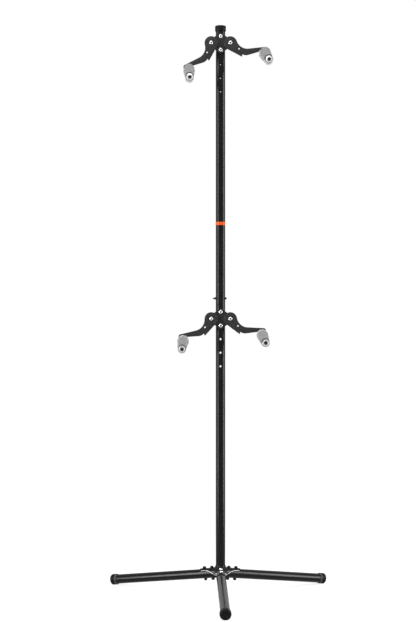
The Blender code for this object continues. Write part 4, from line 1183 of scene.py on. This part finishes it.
# %% [markdown]
# ## Light
# The photograph shows the pole almost black in the middle, with one soft light strip near each side: two
# tall softboxes stand beside it. A softer lamp in front and one above fill the rest. A weak one behind lights
# the backs, which only other views show, and leaves no reflection. The world is white for the camera and in
# reflections, and dimmer as a light, so that it doesn't wash out the lamps' modelling.

# %% Softboxes
def softbox(name, place, target, size, radiance):
    """Area lamp that points from its place at a target, of a given brightness for each square metre."""
    lamp = bpy.data.lights.new(name, "AREA")
    lamp.shape = "RECTANGLE"
    lamp.size, lamp.size_y = size
    lamp.energy = radiance * pi * size[0] * size[1]
    holder = on_bench(name, lamp)
    holder.location = place
    holder.rotation_euler = (Vector(target) - Vector(place)).to_track_quat("-Z", "Y").to_euler()
    holder.visible_camera = False
    print(f"{name}: {lamp.energy:.0f} W from {place}")
    return holder


pole_middle, beside_pole = (0, POLE_Y, 1.25), (0, POLE_Y, 1.35)
softbox("left_softbox", (-3.0, -1.22, 1.35), beside_pole, (0.72, 3.6), 22.0)
softbox("right_softbox", (3.15, -0.70, 1.35), beside_pole, (0.72, 3.6), 19.0)
softbox("front_softbox", (-0.9, -3.6, 4.6), pole_middle, (3.0, 2.0), 6.0)
softbox("top_softbox", (0, -0.6, 7.0), pole_middle, (2.5, 2.5), 9.0)
softbox("back_softbox", (0.8, 3.6, 3.0), pole_middle, (3.0, 2.0), 5.0).visible_glossy = False

# %% The world
WORLD_LIGHT = 0.38
world = bpy.data.worlds.new("white_studio")
world.use_nodes = True
bpy.context.scene.world = world
tree = world.node_tree
back = tree.nodes["Background"]
back.inputs["Color"].default_value = (1, 1, 1, 1)
strength = output_of(tree, "ShaderNodeMix", {0: seen_directly(tree), 2: WORLD_LIGHT, 3: 1.0}, data_type="FLOAT")
tree.links.new(strength, back.inputs["Strength"])
print("world: white, and", WORLD_LIGHT, "as a light")

# %% [markdown]
# ## Camera
# The camera stands level, a little above half the stand's height, six metres off, and is turned by less than
# two degrees. A level camera keeps the pole upright; the small shift of the lens, and not a tilt, puts the
# stand where the photograph has it.

# %% The camera
YAW = radians(1.6)
CAMERA_DISTANCE, CAMERA_SIDE, CAMERA_HEIGHT = 6.054, 0.0525, 1.118
SENSOR, PICTURE_HEIGHT, FOCAL_PIXELS, SHIFT_PIXELS = 36.0, 622, 1441, 17.75
lens = bpy.data.cameras.new("photo_camera")
lens.sensor_width = lens.sensor_height = SENSOR
lens.sensor_fit = "VERTICAL"
lens.lens = SENSOR * FOCAL_PIXELS / PICTURE_HEIGHT
lens.shift_y = SHIFT_PIXELS / PICTURE_HEIGHT
camera = on_bench("photo_camera", lens)
camera.location = (-CAMERA_DISTANCE * sin(YAW) - CAMERA_SIDE * cos(YAW),
                   -CAMERA_DISTANCE * cos(YAW) + CAMERA_SIDE * sin(YAW) + POLE_Y, CAMERA_HEIGHT)
camera.rotation_euler = (radians(90), 0, -YAW)
bpy.context.scene.camera = camera
bpy.context.scene.view_settings.view_transform = "Standard"
print("camera at", [round(value, 3) for value in camera.location])
